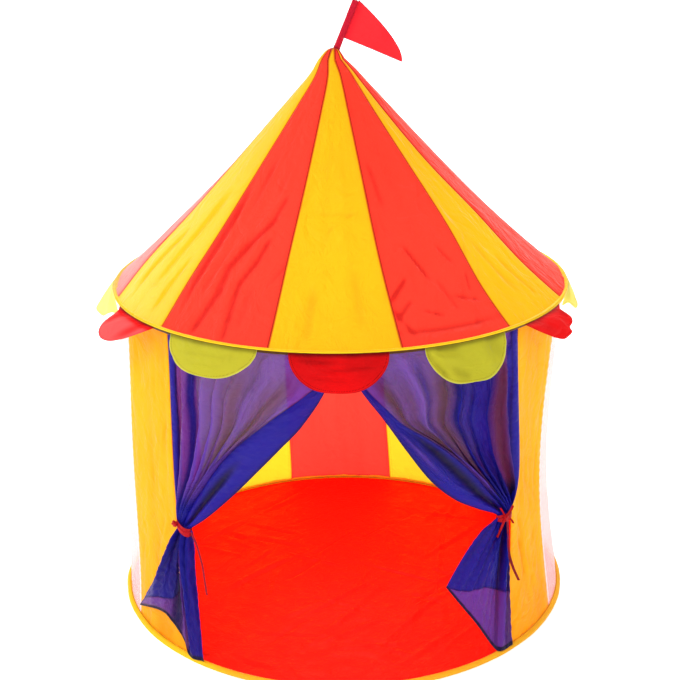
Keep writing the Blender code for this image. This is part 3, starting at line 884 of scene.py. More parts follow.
# Creases in the front gores, as (u, v, u, v, depth, half width) with u across and v up
GORE_CREASES = {
    12: [
        (0.76, 0.51, 0.68, 0.42, 0.0018, 0.0050), (0.68, 0.42, 0.47, 0.33, 0.0026, 0.0055),
        (0.47, 0.33, 0.37, 0.25, 0.0028, 0.0055), (0.37, 0.25, 0.39, 0.16, 0.0026, 0.0060),
        (0.39, 0.16, 0.31, 0.02, 0.0026, 0.0065), (0.72, 0.36, 0.66, 0.28, 0.0022, 0.0050),
        (0.66, 0.28, 0.56, 0.20, 0.0026, 0.0050), (0.56, 0.20, 0.59, 0.09, 0.0024, 0.0055),
        (0.59, 0.09, 0.61, 0.01, 0.0020, 0.0055), (0.10, 0.12, 0.11, 0.50, 0.0026, 0.0060),
        (0.28, 0.30, 0.20, 0.14, 0.0016, 0.0050), (0.82, 0.20, 0.80, 0.06, -0.0016, 0.008),
        (0.30, 0.62, 0.26, 0.44, 0.0014, 0.0060),
    ],
    2: [
        (0.31, 0.33, 0.46, 0.22, 0.0022, 0.0038), (0.70, 0.316, 0.80, 0.253, 0.0016, 0.0036),
        (0.23, 0.23, 0.02, 0.16, 0.0022, 0.0040), (0.66, 0.144, 0.87, 0.115, 0.0018, 0.0036),
        (0.90, 0.207, 0.84, 0.15, 0.0016, 0.0034), (0.30, 0.115, 0.45, 0.09, 0.0016, 0.0040),
        (0.02, 0.09, 0.20, 0.15, 0.0018, 0.0040), (0.05, 0.05, 0.90, 0.045, 0.0016, 0.0050),
        (0.02, 0.12, 0.13, 0.04, 0.0018, 0.0045), (0.16, 0.62, 0.20, 0.48, 0.0014, 0.0050),
        (0.55, 0.20, 0.62, 0.10, 0.0014, 0.0045),
    ],
    11: [
        (0.35, 0.30, 0.25, 0.10, 0.0020, 0.0075), (0.62, 0.45, 0.55, 0.15, 0.0018, 0.0080),
        (0.80, 0.22, 0.75, 0.06, 0.0018, 0.0055),
    ],
    1: [
        (0.15, 0.46, 0.85, 0.45, 0.0008, 0.0050), (0.30, 0.20, 0.28, 0.04, 0.0014, 0.0090),
        (0.70, 0.26, 0.72, 0.08, 0.0012, 0.0090),
    ],
    3: [
        (0.30, 0.30, 0.45, 0.10, 0.0014, 0.0070), (0.60, 0.22, 0.70, 0.06, 0.0014, 0.0060),
    ],
}


# How much painted light makes the gores on the left paler
GORE_PAINTED_LIGHT = {10: 0.95, 11: 0.62, 9: 0.5}


def roof_seam(index, v):
    return lookup(ROOF_SEAMS[index % GORES], v) + 360 * (index // GORES)


def roof_spot(angle, v, push=0.0):
    """A place on the sagging roof; push moves it outwards."""
    radius = mix(ROOF_FOOT_RADIUS, ROOF_TOP_RADIUS, v)
    radius += TIP_SPREAD * ease((v - 0.90) / 0.10)
    spot = polar(angle, radius, mix(ROOF_FOOT_HEIGHT, APEX_HEIGHT, v))
    push -= ROOF_SAG * math.sin(math.pi * v**0.8)
    spot += (outward(angle) * 0.711 + Vector((0, 0, 0.703))) * push
    return spot + Vector((lookup(ROOF_SHIFT, v), 0, 0))


def build_gore(number):
    seed = 200.0 + 11.0 * number
    front = number in GORE_CREASES

    def local(u, v):
        return (u - 0.5) * GORE_WIDTH * (1 - 0.95 * v), v * SLANT

    strokes = [
        (*local(a, b), *local(c, d), 1.25 * depth, 1.5 * half)
        for a, b, c, d, depth, half in GORE_CREASES.get(number, ())
    ]
    painted_light_share = GORE_PAINTED_LIGHT.get(number, 0.0)
    for x, y, x2, y2, depth, half in scattered(
        seed, 9, GORE_WIDTH, SLANT * 0.6, 20, 0.06, 0.0010, 0.0045
    ):
        strokes.append((x - GORE_WIDTH / 2, y, x2 - GORE_WIDTH / 2, y2, depth, half))

    def point_at(u, v):
        start, end = roof_seam(number - 1, v), roof_seam(number, v)
        angle = mix(start, end, u)
        radius = mix(ROOF_FOOT_RADIUS, ROOF_TOP_RADIUS, v)
        width = math.radians(end - start) * radius
        across, along = local(u, v)
        edge = min(u, 1 - u) * width
        hold = math.sin(math.pi * u) ** 0.7
        low = (1 - v) ** 0.6
        long = wave(u * 4.2, v * 1.1, seed) + 0.6 * wave(u * 9.0, v * 1.8, seed + 2)
        slope = crease(u * 3.0 + v * 1.3, v * 2.6 - u, seed + 4)
        small = wave(across * 45, along * 45, seed + 6)
        marks = stroke_depth(strokes, across, along)
        push = hold * low * (0.0032 * long + 0.0024 * (slope - 0.45))
        push += hold * (0.0005 * small - marks)
        push -= 0.0035 * math.sin(math.pi * u) * math.sin(math.pi * min(v + 0.12, 1))
        push += wave(across * 80, 0.0, seed + 9) * 0.0014 * hold * math.exp(-v / 0.03)
        push -= 0.0012 * bell(edge, 0, 0.0026) * min(1.0, width / 0.03)
        # Painted shade in the long folds and creases, and darker along the seams; painted light on the gores on the
        # left.
        deep = 0.22 * max(0.0, -long) * hold * low + max(0.0, marks * 190)
        deep += 0.25 * bell(edge, 0, 0.012) * min(1.0, width / 0.05)
        deep = min(deep, 0.7) - painted_light_share * (1 - 0.35 * u) * (1 - 0.5 * v)
        return roof_spot(angle, v, push), (across, along, edge), deep

    yellow = number % 2 == 1
    gore = grid_piece(
        f"gore_{number:02d}", crowded(56 if front else 28),
        spread(0, 1, 150 if front else 70), point_at,
        "yellow" if yellow else "red",
    )
    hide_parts(f"roof_gore_{number:02d}")


# The tip's (share of the roof's top radius, height above it)
TIP_PROFILE = [(0, 1.0), (0.15, 0.92), (0.4, 0.77), (0.65, 0.60), (0.85, 0.42), (0.96, 0.2), (1, 0.02)]


def build_cap():
    """The blunt tip, which carries the gores' stripes up to the flag."""
    steps = 8
    angles = [
        mix(roof_seam(k, 1), roof_seam(k + 1, 1), i / steps)
        for k in range(GORES) for i in range(steps)
    ]
    full = ROOF_TOP_RADIUS + TIP_SPREAD

    def point_at(angle, v):
        s = 1 - (1 - v) ** 1.5
        radius = full * lookup(TIP_PROFILE, s)
        seam = angles.index(angle) % steps
        seam = min(seam, steps - seam) / steps * 2
        radius *= 1 - 0.03 * (1 - seam) ** 2 + 0.04 * wave(angle * 0.09, v * 2, 31.0) * v
        spot = polar(angle, radius, APEX_HEIGHT + CAP_HEIGHT * s)
        spot += Vector((lookup(ROOF_SHIFT, 1) + 0.004 * v, 0, 0))
        edge = seam * math.pi * radius / GORES
        # Painted shade towards the top, under the flag's sleeve.
        return spot, (angle * 0.0005, v * 0.03, edge), 0.25 * v**2

    cap = grid_piece(
        "tip", angles, spread(0, 1, 18), point_at, "yellow", ring_u=True
    )
    cap.data.materials.append(materials["red"])
    for face in cap.data.polygons:
        face.material_index = face.index % len(angles) // steps % 2
    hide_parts("apex_cap")
    return cap


# Eave flaps

# Each flap's middle and half width in degrees, its length, how it leans out at the sides of
# lower and higher angle, and how wavy its edge is
FLAPS = {
    1: (0.85, 11.0, 0.0775, 28, 28, 0.4),
    2: (30.6, 10.7, 0.0830, 24, 27, 0.9),
    5: (120, 10.8, 0.0745, 40, 34, 0.6),
    6: (150, 10.8, 0.0750, 36, 40, 0.7),
    7: (180, 10.8, 0.0750, 33, 36, 0.6),
    8: (210, 10.8, 0.0750, 38, 33, 0.7),
    9: (240, 10.8, 0.0745, 34, 44, 0.6),
    12: (331.1, 11.7, 0.0690, 32, 34, 0.35),
}
FLAP_TOP = 0.7440
FLAP_RADIUS = 0.5090

# The flaps at the sides turn up: the angles between which each is sewn on, its rim from the
# first to the last as (angle, radius, height), how much painted light makes it paler and how it bulges
SIDE_FLAPS = {
    3: ((48.2, 66.4), [
        (50.3, 0.5458, 0.7271), (53.1, 0.5697, 0.7128), (56.1, 0.5699, 0.7118),
        (58.5, 0.5663, 0.7136), (59.5, 0.5565, 0.7189), (62.1, 0.5525, 0.7216),
        (63.7, 0.5442, 0.7267), (63.7, 0.5340, 0.7321), (61.6, 0.5279, 0.7345),
    ], 0.1, 0.006),
    4: ((80.0, 99.0), [
        (84.0, 0.4970, 0.6913), (85.6, 0.5109, 0.6928), (87.1, 0.5212, 0.6827),
        (88.7, 0.5311, 0.6708), (90.3, 0.5381, 0.6719), (91.9, 0.5384, 0.6779),
        (93.4, 0.5317, 0.6829), (95.0, 0.5185, 0.6847),
    ], 0.6, 0.003),
    10: ((-80.0, -99.0), [
        (-84.0, 0.5024, 0.6786), (-85.2, 0.5170, 0.6744), (-86.4, 0.5298, 0.6677),
        (-87.7, 0.5410, 0.6593), (-88.9, 0.5516, 0.6627), (-90.1, 0.5603, 0.6682),
        (-91.3, 0.5600, 0.6740), (-92.6, 0.5527, 0.6823), (-93.8, 0.5411, 0.6883),
        (-95.0, 0.5297, 0.6922),
    ], 1.0, 0.003),
    11: ((-46.3, -65.6), [
        (-50.2, 0.5517, 0.7240), (-52.4, 0.5658, 0.7153), (-54.6, 0.5752, 0.7093),
        (-57.5, 0.5785, 0.7071), (-60.2, 0.5734, 0.7100), (-62.1, 0.5635, 0.7158),
        (-63.0, 0.5518, 0.7224), (-63.4, 0.5372, 0.7302), (-63.4, 0.5213, 0.7387),
    ], 0.55, 0.006),
}

# Folds in the front flaps, as (x, drop, x, drop, depth, half width) in metres
FLAP_CREASES = {
    1: [(-0.07, 0.016, 0.03, 0.022, 0.0026, 0.006), (-0.02, 0.034, 0.07, 0.028, 0.0026, 0.005),
        (-0.05, 0.050, 0.02, 0.054, 0.0018, 0.005)],
    2: [(-0.088, 0.014, -0.055, 0.062, 0.0034, 0.006),
        (-0.078, 0.022, -0.028, 0.030, -0.0036, 0.009),
        (0.020, 0.010, 0.045, 0.060, -0.0036, 0.016),
        (-0.050, 0.046, -0.012, 0.068, 0.0022, 0.012)],
    12: [(-0.06, 0.028, 0.05, 0.024, 0.0014, 0.005), (-0.04, 0.046, 0.04, 0.042, 0.0012, 0.005)],
}


def flap_piece(number, point_at):
    red = number % 2 == 1
    flap = grid_piece(
        f"flap_{number:02d}", crowded(48), crowded(34), point_at,
        "flap_red" if red else "lime",
    )
    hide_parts(f"eave_flap_{number:02d}")


def build_flap(number):
    centre, half_turn, length, lean_low, lean_high, wavy = FLAPS[number]
    seed = 400.0 + 13.0 * number
    half_width = math.radians(half_turn) * FLAP_RADIUS
    strokes = FLAP_CREASES.get(number, ())

    def point_at(u, v):
        turn = v * math.radians(89.5)
        share = math.sin(turn)
        drop = length * share
        x = (2 * u - 1) * half_width * math.cos(turn) ** 0.9
        side = x / half_width
        lean = math.radians(mix(lean_low, lean_high, 0.5 + 0.5 * side) * min(1.0, 0.75 + share))
        lobe = math.cos(math.pi * side * 1.9 + 0.4) * wavy
        drop *= 1 - 0.035 * lobe * share
        push = 0.0034 * lobe * share
        push += 0.0026 * wave(x * 22, drop * 9, seed) * share**0.5
        push += 0.0024 * (crease(x * 8, drop * 30, seed + 3) - 0.4) * ease(share / 0.3)
        marks = stroke_depth(strokes, x, drop)
        push += 0.0006 * wave(x * 90, drop * 90, seed + 5) - marks
        angle = centre + math.degrees(x / FLAP_RADIUS)
        reach = FLAP_RADIUS + drop * math.sin(lean) - 0.010 * share * side**2
        spot = polar(angle, reach, FLAP_TOP - drop * math.cos(lean))
        tilt = outward(angle) * math.cos(lean) + Vector((0, 0, math.sin(lean)))
        spot += tilt * push * ease(drop / 0.012)
        rim = math.hypot(side, share)
        # Painted shadow of the tape at the top, and painted shade in the creases and folds.
        deep = 0.8 * math.exp(-((drop / 0.008) ** 2)) + max(0.0, marks * 90)
        deep += 0.25 * max(0.0, -wave(x * 22, drop * 9, seed))
        return spot, (x, drop, max(0.0, 1 - rim) * 0.08), min(deep, 1.0)

    flap_piece(number, point_at)


def build_side_flap(number):
    (start, end), rim, pale, bulge = SIDE_FLAPS[number]
    seed = 400.0 + 13.0 * number
    first, last = (polar(a, FLAP_RADIUS, FLAP_TOP) for a in (start, end))
    route = smooth_route([first, *(polar(*spot) for spot in rim), last], 12)
    width = (last - first).length

    def point_at(u, v):
        place = u * (len(route) - 1)
        i = min(int(place), len(route) - 2)
        outer = route[i].lerp(route[i + 1], place - i)
        angle = mix(start, end, u)
        inner = polar(angle, FLAP_RADIUS, FLAP_TOP)
        spot = inner.lerp(outer, v)
        reach = (outer - inner).length
        swell = bulge * math.sin(math.pi * v) * math.sin(math.pi * u)
        swell += 0.0016 * math.sin(math.pi * v) * math.cos(14 * u) * math.sin(math.pi * u)
        swell += 0.0020 * (crease(u * 3, v * 1.5, seed) - 0.4) * v * math.sin(math.pi * u)
        spot += (outward(angle) * 0.5 + Vector((0, 0, 0.85))) * swell
        edge = min((1 - v) * reach, 0.01)
        # Painted shadow of the tape near the top, painted light further out, and painted shade in the folds.
        deep = 0.9 * math.exp(-v * reach / 0.008) - pale * ease(v * reach / 0.02)
        deep += 0.3 * max(0.0, -math.cos(14 * u)) * math.sin(math.pi * v)
        return spot, (u * width, v * reach, edge), min(max(deep, -1.0), 1.0)

    flap_piece(number, point_at)


# Curtains

# Each curtain: where its free edge (swing) and the inner edge of its hemmed band run, by the
# share of the way down to the tie; its bottom edge (low) as (u, angle, radius, height); the
# line down to which the lower part is doubled; stripes as (place, half width, cover, painted shade);
# and the folds of the lower part, with painted shade in their valleys
CURTAINS = {
    "left": {
        "swing": [(0, 0), (0.204, 0.090), (0.385, 0.236), (0.503, 0.371), (0.639, 0.530),
                  (0.766, 0.680), (0.917, 0.873), (1, 1)],
        "band": [(0, 0.975), (0.10, 0.955), (0.186, 0.925), (0.388, 0.737), (0.583, 0.581),
                 (0.807, 0.45), (0.93, 0.36), (1, 0.34)],
        "low": [(0, -61.6, 0.5210, 0.044), (0.12, -53.7, 0.5205, 0.073),
                (0.25, -48.3, 0.5190, 0.083), (0.35, -45.3, 0.5190, 0.073),
                (0.55, -40.2, 0.5215, 0.044), (0.66, -38.9, 0.5220, 0.0135),
                (1, -34.0, 0.5215, 0.0135)],
        "bends": (1.3, 0.35),
        "line": [(0, 1.0), (0.05, 0.86), (0.3, 0.81), (0.42, 0.6), (0.55, 0.25), (0.62, 0.1)],
        "strip": 0.64,
        "stripes": [(0.10, 0.045, 0.0, 0.62), (0.195, 0.026, 1.0, 0.15), (0.36, 0.05, 0.0, -0.15),
                    (0.45, 0.03, 0.0, 0.30), (0.55, 0.045, 0.0, 0.62), (0.66, 0.03, 0.25, 0.1),
                    (0.74, 0.03, 0.0, 0.35), (0.85, 0.06, 0.05, 0.66)],
        "pocket": (0.40, 0.15, 0.50),
        "peep": 0.0,
        "lining": 0.0,
        "folds": [(0, -0.6), (0.07, 1.1), (0.17, 0.7), (0.30, -0.6), (0.40, -1.6),
                  (0.50, -0.9), (0.60, 0.5), (0.66, -0.9), (0.74, 0.7), (0.82, 0.9),
                  (0.93, -0.5), (1, 0.2)],
        "pleats": 7.0,
        "seed": 600.0,
    },
    "right": {
        "swing": [(0, 0), (0.197, 0.112), (0.37, 0.255), (0.558, 0.404), (0.726, 0.550),
                  (0.843, 0.700), (0.922, 0.855), (0.98, 0.985), (1, 1)],
        "band": [(0, 0.98), (0.19, 0.965), (0.305, 0.933), (0.40, 0.895), (0.5, 0.775),
                 (0.614, 0.654), (0.762, 0.529), (0.922, 0.47), (1, 0.45)],
        "low": [(0, 46.2, 0.5225, 0.0135), (0.18, 43.0, 0.5222, 0.0125),
                (0.3, 40.6, 0.5190, 0.020), (0.6, 34.2, 0.5110, 0.106),
                (0.8, 30.3, 0.5060, 0.155), (1, 26.4, 0.5020, 0.205)],
        "bends": (0.5, 0.6),
        "line": [(0, 0.60), (0.25, 0.55), (0.6, 0.64), (0.85, 0.86), (1, 1.0)],
        "strip": 2.0,
        "stripes": [(0.065, 0.022, 1.0, 0.0), (0.145, 0.045, 0.1, 0.95), (0.235, 0.03, 0.55, 0.0),
                    (0.34, 0.10, 0.62, -0.1), (0.47, 0.03, 0.75, 0.1), (0.585, 0.055, 0.1, 0.85),
                    (0.68, 0.02, 0.3, 0.0), (0.80, 0.03, 0.1, 0.5), (0.91, 0.05, 0.1, 0.85)],
        "pocket": (0.32, 0.19, 0.34),
        "peep": 0.4,
        "lining": 0.30,
        "folds": [(0, -0.95), (0.13, -0.95), (0.20, 0.4), (0.28, -1.0),
                  (0.38, -0.5), (0.55, 0.8), (0.78, 1.0), (0.92, 0.5), (1, -0.4)],
        "pleats": 8.0,
        "seed": 700.0,
    },
}
BAND_FROM = 0.87
ABOVE_TIE, BELOW_TIE = 0.50, 0.22


def lookup_many(rows, x):
    return [lookup([(row[0], row[k]) for row in rows], x) for k in range(1, len(rows[0]))]


def stripe_values(plan, x, s):
    """How much more cover and painted shade the radial folds give."""
    cover, painted_shade = 0.0, 0.0
    drift = 0.012 * math.sin(5 * s + plan["seed"])
    for place, half, more, shade in plan["stripes"]:
        near = bell(x + drift, place, half * (1.25 - 0.4 * s))
        cover += more * near
        painted_shade += shade * near
    return cover * ease(s / 0.25 + 0.15), painted_shade * ease(s / 0.3 + 0.1)


# How the folds crowd towards the band on the way down
CROWDING = [(0, 1.0), (0.28, 1.0), (0.5, 1.8), (0.75, 3.0), (1, 2.4)]


def curtain_rows(which, s):
    """The outer edge, free edge and band of a curtain at a share of the way to its tie."""
    side, tie, low = TIES[which]
    plan = CURTAINS[which]
    height = mix(WALL_TOP, low, s)
    edge = polar(door_edge(side, height), WALL_TOP_RADIUS, height) + sway(height)
    outer = mix(angle_of(edge) + side * 0.2, tie + side * BUNDLE_HALF_ANGLE, s**12)
    meet = WALL_CENTRE / 2 + side * 0.06
    free = mix(meet, tie - side * BUNDLE_HALF_ANGLE, lookup(plan["swing"], s))
    return height, outer, free, lookup(plan["band"], s)


def curtain_above(which, u, s, row):
    """The cloth between the eave (s = 0) and the tie (s = 1)."""
    plan = CURTAINS[which]
    seed = plan["seed"]
    height, outer, free, band = row
    banded = u > BAND_FROM
    in_band = (u - BAND_FROM) / (1 - BAND_FROM) if banded else 0.0
    in_sheer = min(1.0, u / BAND_FROM)
    crowded_share = 1 - (1 - in_sheer) ** lookup(CROWDING, s)
    angle = mix(outer, free, mix(crowded_share * band, 1.0, in_band))
    radius = mix(CURTAIN_TOP_RADIUS, TIE_RADIUS, s**3)
    radius -= CURTAIN_SAG * 4 * s * (1 - s) * u
    phase = plan["pleats"] * in_sheer + 0.22 * math.sin(math.tau * (1.6 * in_sheer + 0.3))
    phase = math.tau * (phase + 0.18 * wave(in_sheer * 3, s * 2, seed))
    size = 0.0020 + 0.0125 * s**0.9 * (1 - s**7) + 0.0035 * s**7
    hold = 0.0 if banded else ease(in_sheer / 0.08) * ease((1 - in_sheer) / 0.08)
    pleat = math.cos(phase) + 0.3 * math.cos(2 * phase + 0.7)
    push = size * pleat * hold
    angle += math.degrees(0.5 * size * math.sin(phase) * hold / 0.5)
    more, shade = (0.0, 0.0) if banded else stripe_values(plan, in_sheer, s)
    push -= 0.006 * shade * s * hold
    # Painted shade in the pleats' valleys and the radial stripes, and below in the band's pocket, along its edges
    # and at the hem's inner edge.
    painted_shade = max(0.0, -pleat) * hold * 0.45 * s + shade
    roll = math.sin(math.pi * in_band)
    push += roll * (0.004 + 0.009 * s * (1 - s**6))
    # The pocket is a dent in the band with painted shade in it.
    middle, half, begin = plan["pocket"]
    pocket = bell(in_band, middle, half) * ease((s - begin) / 0.25) * ease((1.02 - s) / 0.06)
    pocket *= 1.0 if banded else 0.0
    push -= 0.013 * pocket
    painted_shade = max(painted_shade, pocket * 0.9, 0.75 * bell(in_band, 1.0, 0.09) * banded)
    painted_shade = max(painted_shade, 0.5 * bell(in_band, 0.0, 0.05) * banded)
    peep = plan["peep"] * banded * bell(in_band, 0.70, 0.13) * bell(s, 0.56, 0.17)
    crumple = wave(u * 26, s * 22, seed + 4) + 0.8 * wave(u * 60, s * 50, seed + 5)
    lines = crease(u * 34 + s * 9, s * 30, seed + 6) - 0.4
    push += (0.0009 * crumple + 0.0016 * lines) * ease(u / 0.05) * (1 - s**4)
    cover = max(ease(in_band / 0.05) * banded, 1 - ease((u - 0.045) / 0.012))
    cover = max(cover, plan["lining"] + more, ease((0.012 - s) / 0.006))
    cover = max(cover, ease((s - 0.72) / 0.2) * 0.9)
    cover -= peep
    if u < 0.05:
        push += 0.002 * math.sin(math.pi * u / 0.05)
        painted_shade = max(painted_shade * 0.3, 0.7 * bell(u, 0.05, 0.012))
    place = polar(angle, radius + push, height)
    coordinates = (u * CURTAIN_FLAT[0], s * ABOVE_TIE, min(cover, 1.0))
    return place, coordinates, min(max(painted_shade, 0.0), 1.0)


def curtain_below(which, u, w, tied):
    """The cloth between the tie (w = 0) and the bottom hem (w = 1)."""
    plan = CURTAINS[which]
    seed = plan["seed"]
    start, _, fold_start = tied
    angle_low, radius_low, height_low = lookup_many(plan["low"], u)
    angle = mix(angle_of(start), angle_low, w ** mix(*plan["bends"], u))
    height = mix(start.z, height_low, w)
    radius = mix(math.hypot(start.x, start.y), radius_low, 0.6 * ease(w / 0.35) + 0.4 * w)
    reach = ease(w / 0.14) * (1 - 0.55 * ease((w - 0.45) / 0.55))
    fold_value = lookup(plan["folds"], u)
    push = 0.0125 * reach * fold_value
    fine = math.cos(math.tau * (9 * u + 0.3 * wave(u * 5, w * 3, seed + 3)))
    push += 0.0028 * fine * ease(w / 0.06) * (1 - 0.75 * w)
    crumple = wave(u * 22, w * 12, seed + 7) + 0.7 * wave(u * 50, w * 26, seed + 8)
    lines = crease(u * 22 + w * 6, w * 13, seed + 9) - 0.4
    push += (0.0010 * crumple + 0.0020 * lines) * ease(w / 0.2)
    radius += push * (1 - 0.8 * ease((w - 0.9) / 0.1))
    place = polar(angle, max(radius, wall_radius(height) + 0.0055), height)
    line = lookup(plan["line"], u)
    cover = 1 - ease((w - line) / 0.02 + 0.5)
    cover = max(cover, ease((u - plan["strip"]) / 0.02), ease((w - 0.962) / 0.008))
    cover = max(cover, 0.5 * max(0.0, -fold_value), plan["lining"] * 1.4)
    # Painted shade in the valleys of the folds, a little over the whole lower part, and at the bottom edge.
    painted_shade = max(0.0, -fold_value) * 0.8 * ease(w / 0.1) * (1 - 0.45 * w)
    painted_shade = max(painted_shade, 0.28) + 0.25 * max(0.0, -fine) * (1 - w)
    painted_shade = mix(fold_start, painted_shade, ease(w / 0.08))
    painted_shade = max(painted_shade, 0.95 * ease((w - 0.960) / 0.010))
    coordinates = (u * CURTAIN_FLAT[0], ABOVE_TIE + w * BELOW_TIE, cover)
    return place, coordinates, min(painted_shade, 1.0)


def build_curtain(which):
    above, below = 130, 84
    rows = [curtain_rows(which, i / above) for i in range(above + 1)]
    tied = {u: curtain_above(which, u, 1.0, rows[-1]) for u in spread(0, 1, 140)}

    def point_at(u, v):
        if v <= above:
            return curtain_above(which, u, v / above, rows[v])
        return curtain_below(which, u, (v - above) / below, tied[u])

    curtain = grid_piece(
        f"door_curtain_{which}", spread(0, 1, 140), list(range(above + below + 1)),
        point_at, "sheer",
    )
    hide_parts(f"curtain_{which}")


# Ties


def build_tie(which, tilt):
    """Two turns of ribbon round the gathered curtain, pulled tight at the knot."""
    side, angle, height = TIES[which]
    centre = polar(angle, TIE_RADIUS + 0.001, height)
    along, out = outward(angle + 90), outward(angle)
    half_width, half_depth = 0.0190, 0.0105

    def point_at(u, v):
        turn = math.tau * (u * 2)
        second = u > 0.5
        squeeze = 1 + 0.05 * wave(u * 9, v * 3, 50.0 + side)
        grow = 0.0006 + (0.0009 if second else 0.0)
        x = (half_width + grow) * math.cos(turn) * squeeze
        y = (half_depth + grow) * math.sin(turn) * squeeze
        drift = mix(0.0035, -0.0035, ease((u - 0.42) / 0.16))
        width = 0.0125 * (1 - 0.25 * math.sin(turn / 2) ** 8)
        lift = (v - 0.5) * width + drift + tilt * x
        lift += 0.0008 * math.sin(3 * turn + 1)
        crown = 0.0008 * math.sin(math.pi * v) + 0.0004 * math.sin(math.tau * 2 * v)
        place = centre + along * x + out * (y + crown * math.sin(turn))
        place += Vector((0, 0, lift))
        return place, (v * width, u * 0.2, min(v, 1 - v) * width)

    tie = grid_piece(
        f"tie_band_{which}", spread(0, 1, 120), spread(0, 1, 8), point_at,
        "ribbon",
    )
    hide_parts(f"curtain_tie_{which}")
    return tie


def build_knot(which, side, spot, size):
    """A pulled knot: a small rumpled ball of ribbon."""

    def point_at(u, v):
        turn, rise = math.tau * u, math.pi * (v - 0.5)
        reach = size * (1 + 0.22 * wave(u * 7, v * 5, 60.0 + side))
        reach *= 1 + 0.16 * math.cos(3 * turn + 4 * rise)
        x = reach * math.cos(rise) * math.cos(turn) * 1.15
        y = reach * math.cos(rise) * math.sin(turn) * 0.8
        place = spot + outward(44.7 * side + 90) * x + outward(44.7 * side) * y
        place += Vector((0, 0, reach * math.sin(rise)))
        return place, (u * 0.03, v * 0.015, 0.004 * abs(math.cos(3 * turn + 4 * rise)))

    knot = grid_piece(
        f"tie_knot_{which}", spread(0, 1, 48)[:-1], spread(0, 1, 24), point_at,
        "ribbon", ring_u=True,
    )
    return knot


def build_loose_end(name, points, width, side_turn):
    """A short end or loop of ribbon that stands out from a knot."""
    route = smooth_route(points, 8)
    sides = []
    for i in range(len(route)):
        ahead = (route[min(i + 1, len(route) - 1)] - route[max(i - 1, 0)]).normalized()
        side = outward(side_turn)
        sides.append((side - ahead * side.dot(ahead)).normalized())
    end = strip(name, route, sides, width, "ribbon", 0.0003)
    return end


BOW_ENDS = (
    [(42.6, 0.5160, 0.3330), (41.4, 0.5185, 0.3480), (40.6, 0.5180, 0.3600)],
    [(43.2, 0.5160, 0.3340), (44.2, 0.5185, 0.3460), (44.9, 0.5180, 0.3530)],
    [(43.4, 0.5160, 0.3310), (44.6, 0.5180, 0.3200), (45.2, 0.5180, 0.3100)],
    [(42.5, 0.5160, 0.3310), (41.4, 0.5190, 0.3200), (40.2, 0.5200, 0.3060),
     (39.5, 0.5200, 0.2960)],
)


def build_bow():
    """The right tie's knot has four short ends."""
    for i, spots in enumerate(BOW_ENDS):
        points = [polar(*spot) for spot in spots]
        build_loose_end(f"bow_end_{i + 1}", points, 0.0058, 60)


# Flag


def flag_axes():
    lean = math.radians(FLAG_LEAN)
    up = Vector((math.sin(lean), 0, math.cos(lean)))
    side = Vector((math.cos(lean), 0, -math.sin(lean)))
    return Vector(FLAG_FOOT), up, side, Vector((0, 1, 0))


def build_sleeve():
    foot, up, side, depth = flag_axes()

    def point_at(u, v):
        turn = math.tau * u
        along = mix(-SLEEVE_OVERLAP, SLEEVE_LENGTH, v)
        past = max(0.0, (v - 0.97) / 0.03)
        closing = max(0.15, math.sqrt(max(0.0, 1 - past**2)))
        radius = SLEEVE_RADIUS * closing
        radius *= 1 + 0.05 * wave(3 * math.cos(turn), along * 60, 80.0)
        radius *= 1 + 0.10 * math.exp(-v / 0.08) * math.cos(6 * turn)
        place = foot + up * along
        place += side * radius * math.cos(turn) + depth * radius * 0.62 * math.sin(turn)
        # Painted shade at its foot, where it sits on the tip.
        return place, (u * 0.043, along, abs(math.sin(turn / 2)) * 0.01), 0.6 * (v < 0.04)

    sleeve = grid_piece(
        "flag_tube", spread(0, 1, 40), spread(0, 1, 60), point_at,
        "sleeve",
    )
    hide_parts("flag_sleeve")


def build_pennant():
    foot, up, side, depth = flag_axes()
    start = SLEEVE_RADIUS - 0.0006

    def point_at(u, v):
        along = u
        out = mix(start, PENNANT_LENGTH, along)
        rise = PENNANT_HEIGHT * (1 - along) ** 0.6
        ripple = 0.0045 * math.sin(5.2 * along) * along
        ripple += 0.0012 * wave(along * 9, v * 4, 90.0) * ease(along / 0.1)
        ripple -= 0.0025 * math.sin(math.pi * v) * along * (1 - along) * 2
        high = PENNANT_FOOT + rise * v
        place = foot + side * out + up * high + depth * ripple
        tip = (1 - along) * PENNANT_LENGTH
        edge = min(rise * v, rise * (1 - v), tip)
        # Painted shade next to the sleeve; also darker in a band across the middle, more towards the top.
        deep = 0.8 * bell(along, 0.0, 0.10) + 0.45 * bell(along, 0.62, 0.16) * v
        return place, (along * 0.14, v * rise, edge), deep

    us = [1 - (1 - t) ** 2 * 1.0 for t in spread(0, 0.995, 60)]
    pennant = grid_piece(
        "pennant", us, crowded(26), point_at, "flag",
    )
    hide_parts("flag_pennant")


# Stage and light


def build_stage():
    g = Graph("studio_floor")
    place = g.add("ShaderNodeTexCoord").outputs["Object"]
    shade = g.tint(g.noise(place, 0.8), (0.93, 0.93, 0.93, 1), (0.95, 0.95, 0.95, 1))
    inputs = {"Base Color": shade, "Roughness": 0.9, "Specular IOR Level": 0.1}
    inputs |= {"Emission Color": (1, 1, 1, 1), "Emission Strength": 0.4}
    surface = g.add("ShaderNodeBsdfPrincipled", inputs)
    material = g.finish(surface.outputs[0])
    mesh = bpy.data.meshes.new("studio_floor")
    size = 40.0
    corners = [(-size, -size, 0), (size, -size, 0), (size, size, 0), (-size, size, 0)]
    mesh.from_pydata([(x, y, -0.0005) for x, y, _ in corners], [], [(0, 1, 2, 3)])
    mesh.materials.append(material)
    floor = bpy.data.objects.new("studio_floor", mesh)
    bpy.context.scene.collection.objects.link(floor)


SUNS = (
    ("key", -30, 46, 18, 1.4),
    ("fill", 50, 40, 35, 0.9),
    ("left_edge", -98, 22, 15, 1.4),
    ("behind", 176, 38, 30, 1.9),
)
INSIDE_PLACE = (0.0, 0.02, 0.50)
INSIDE_POWER = 4.5


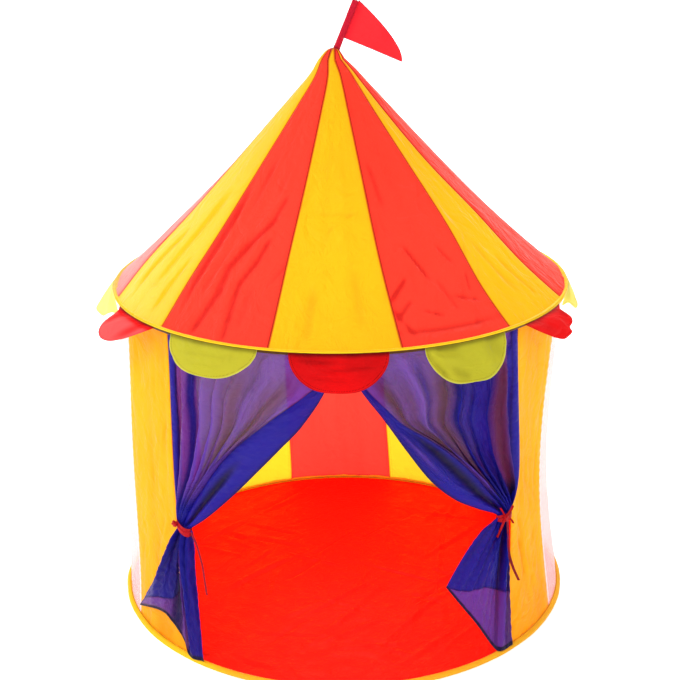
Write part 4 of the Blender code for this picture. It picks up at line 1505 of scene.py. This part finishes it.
def build_light():
    """A white studio: an even surround and four soft suns by azimuth and elevation."""
    world = bpy.data.worlds.new("studio")
    world.use_nodes = True
    world.node_tree.nodes["Background"].inputs["Color"].default_value = (1, 1, 1, 1)
    world.node_tree.nodes["Background"].inputs["Strength"].default_value = 0.45
    bpy.context.scene.world = world
    for name, azimuth, elevation, softness, strength in SUNS:
        lamp = bpy.data.lights.new(name, "SUN")
        lamp.energy = strength
        lamp.angle = math.radians(softness)
        obj = bpy.data.objects.new(name, lamp)
        high = math.radians(elevation)
        toward = outward(azimuth) * math.cos(high) + Vector((0, 0, math.sin(high)))
        obj.rotation_euler = toward.to_track_quat("Z", "Y").to_euler()
        bpy.context.scene.collection.objects.link(obj)
    lamp = bpy.data.lights.new("inside", "POINT")
    lamp.energy = INSIDE_POWER
    lamp.shadow_soft_size = 0.12
    obj = bpy.data.objects.new("inside", lamp)
    obj.location = INSIDE_PLACE
    obj.visible_camera = False
    bpy.context.scene.collection.objects.link(obj)
    view = bpy.context.scene.view_settings
    view.view_transform = "Standard"
    view.look = "None"


def finish_cad_nodes():
    """The carried-over solids get their materials."""
    for node, material in (
        ("base_hoop", "steel"), ("eave_hoop", "steel"), ("flag_stick", "plastic"),
    ):
        solid = bpy.data.objects[node]
        for i in range(len(solid.material_slots)):
            solid.material_slots[i].material = materials[material]


def main():
    place_camera()
    build_tail("tie_tail_left", TAIL_LEFT, 10, 50)
    build_tail("tie_tail_right", TAIL_RIGHT, 0, 60)
    floor = build_floor()
    hem = build_hem()
    binding = build_binding()
    build_walls()
    for number in range(1, GORES + 1):
        build_gore(number)
        (build_side_flap if number in SIDE_FLAPS else build_flap)(number)
    build_cap()
    for which, tilt in (("left", -0.45), ("right", 0.12)):
        build_curtain(which)
        build_tie(which, tilt)
    build_knot("left", -1, polar(-42.1, 0.5165, 0.3185), 0.0062)
    build_knot("right", 1, polar(43.0, 0.5150, 0.3320), 0.0055)
    build_bow()
    build_sleeve()
    build_pennant()
    finish_cad_nodes()
    build_stage()
    build_light()


main()
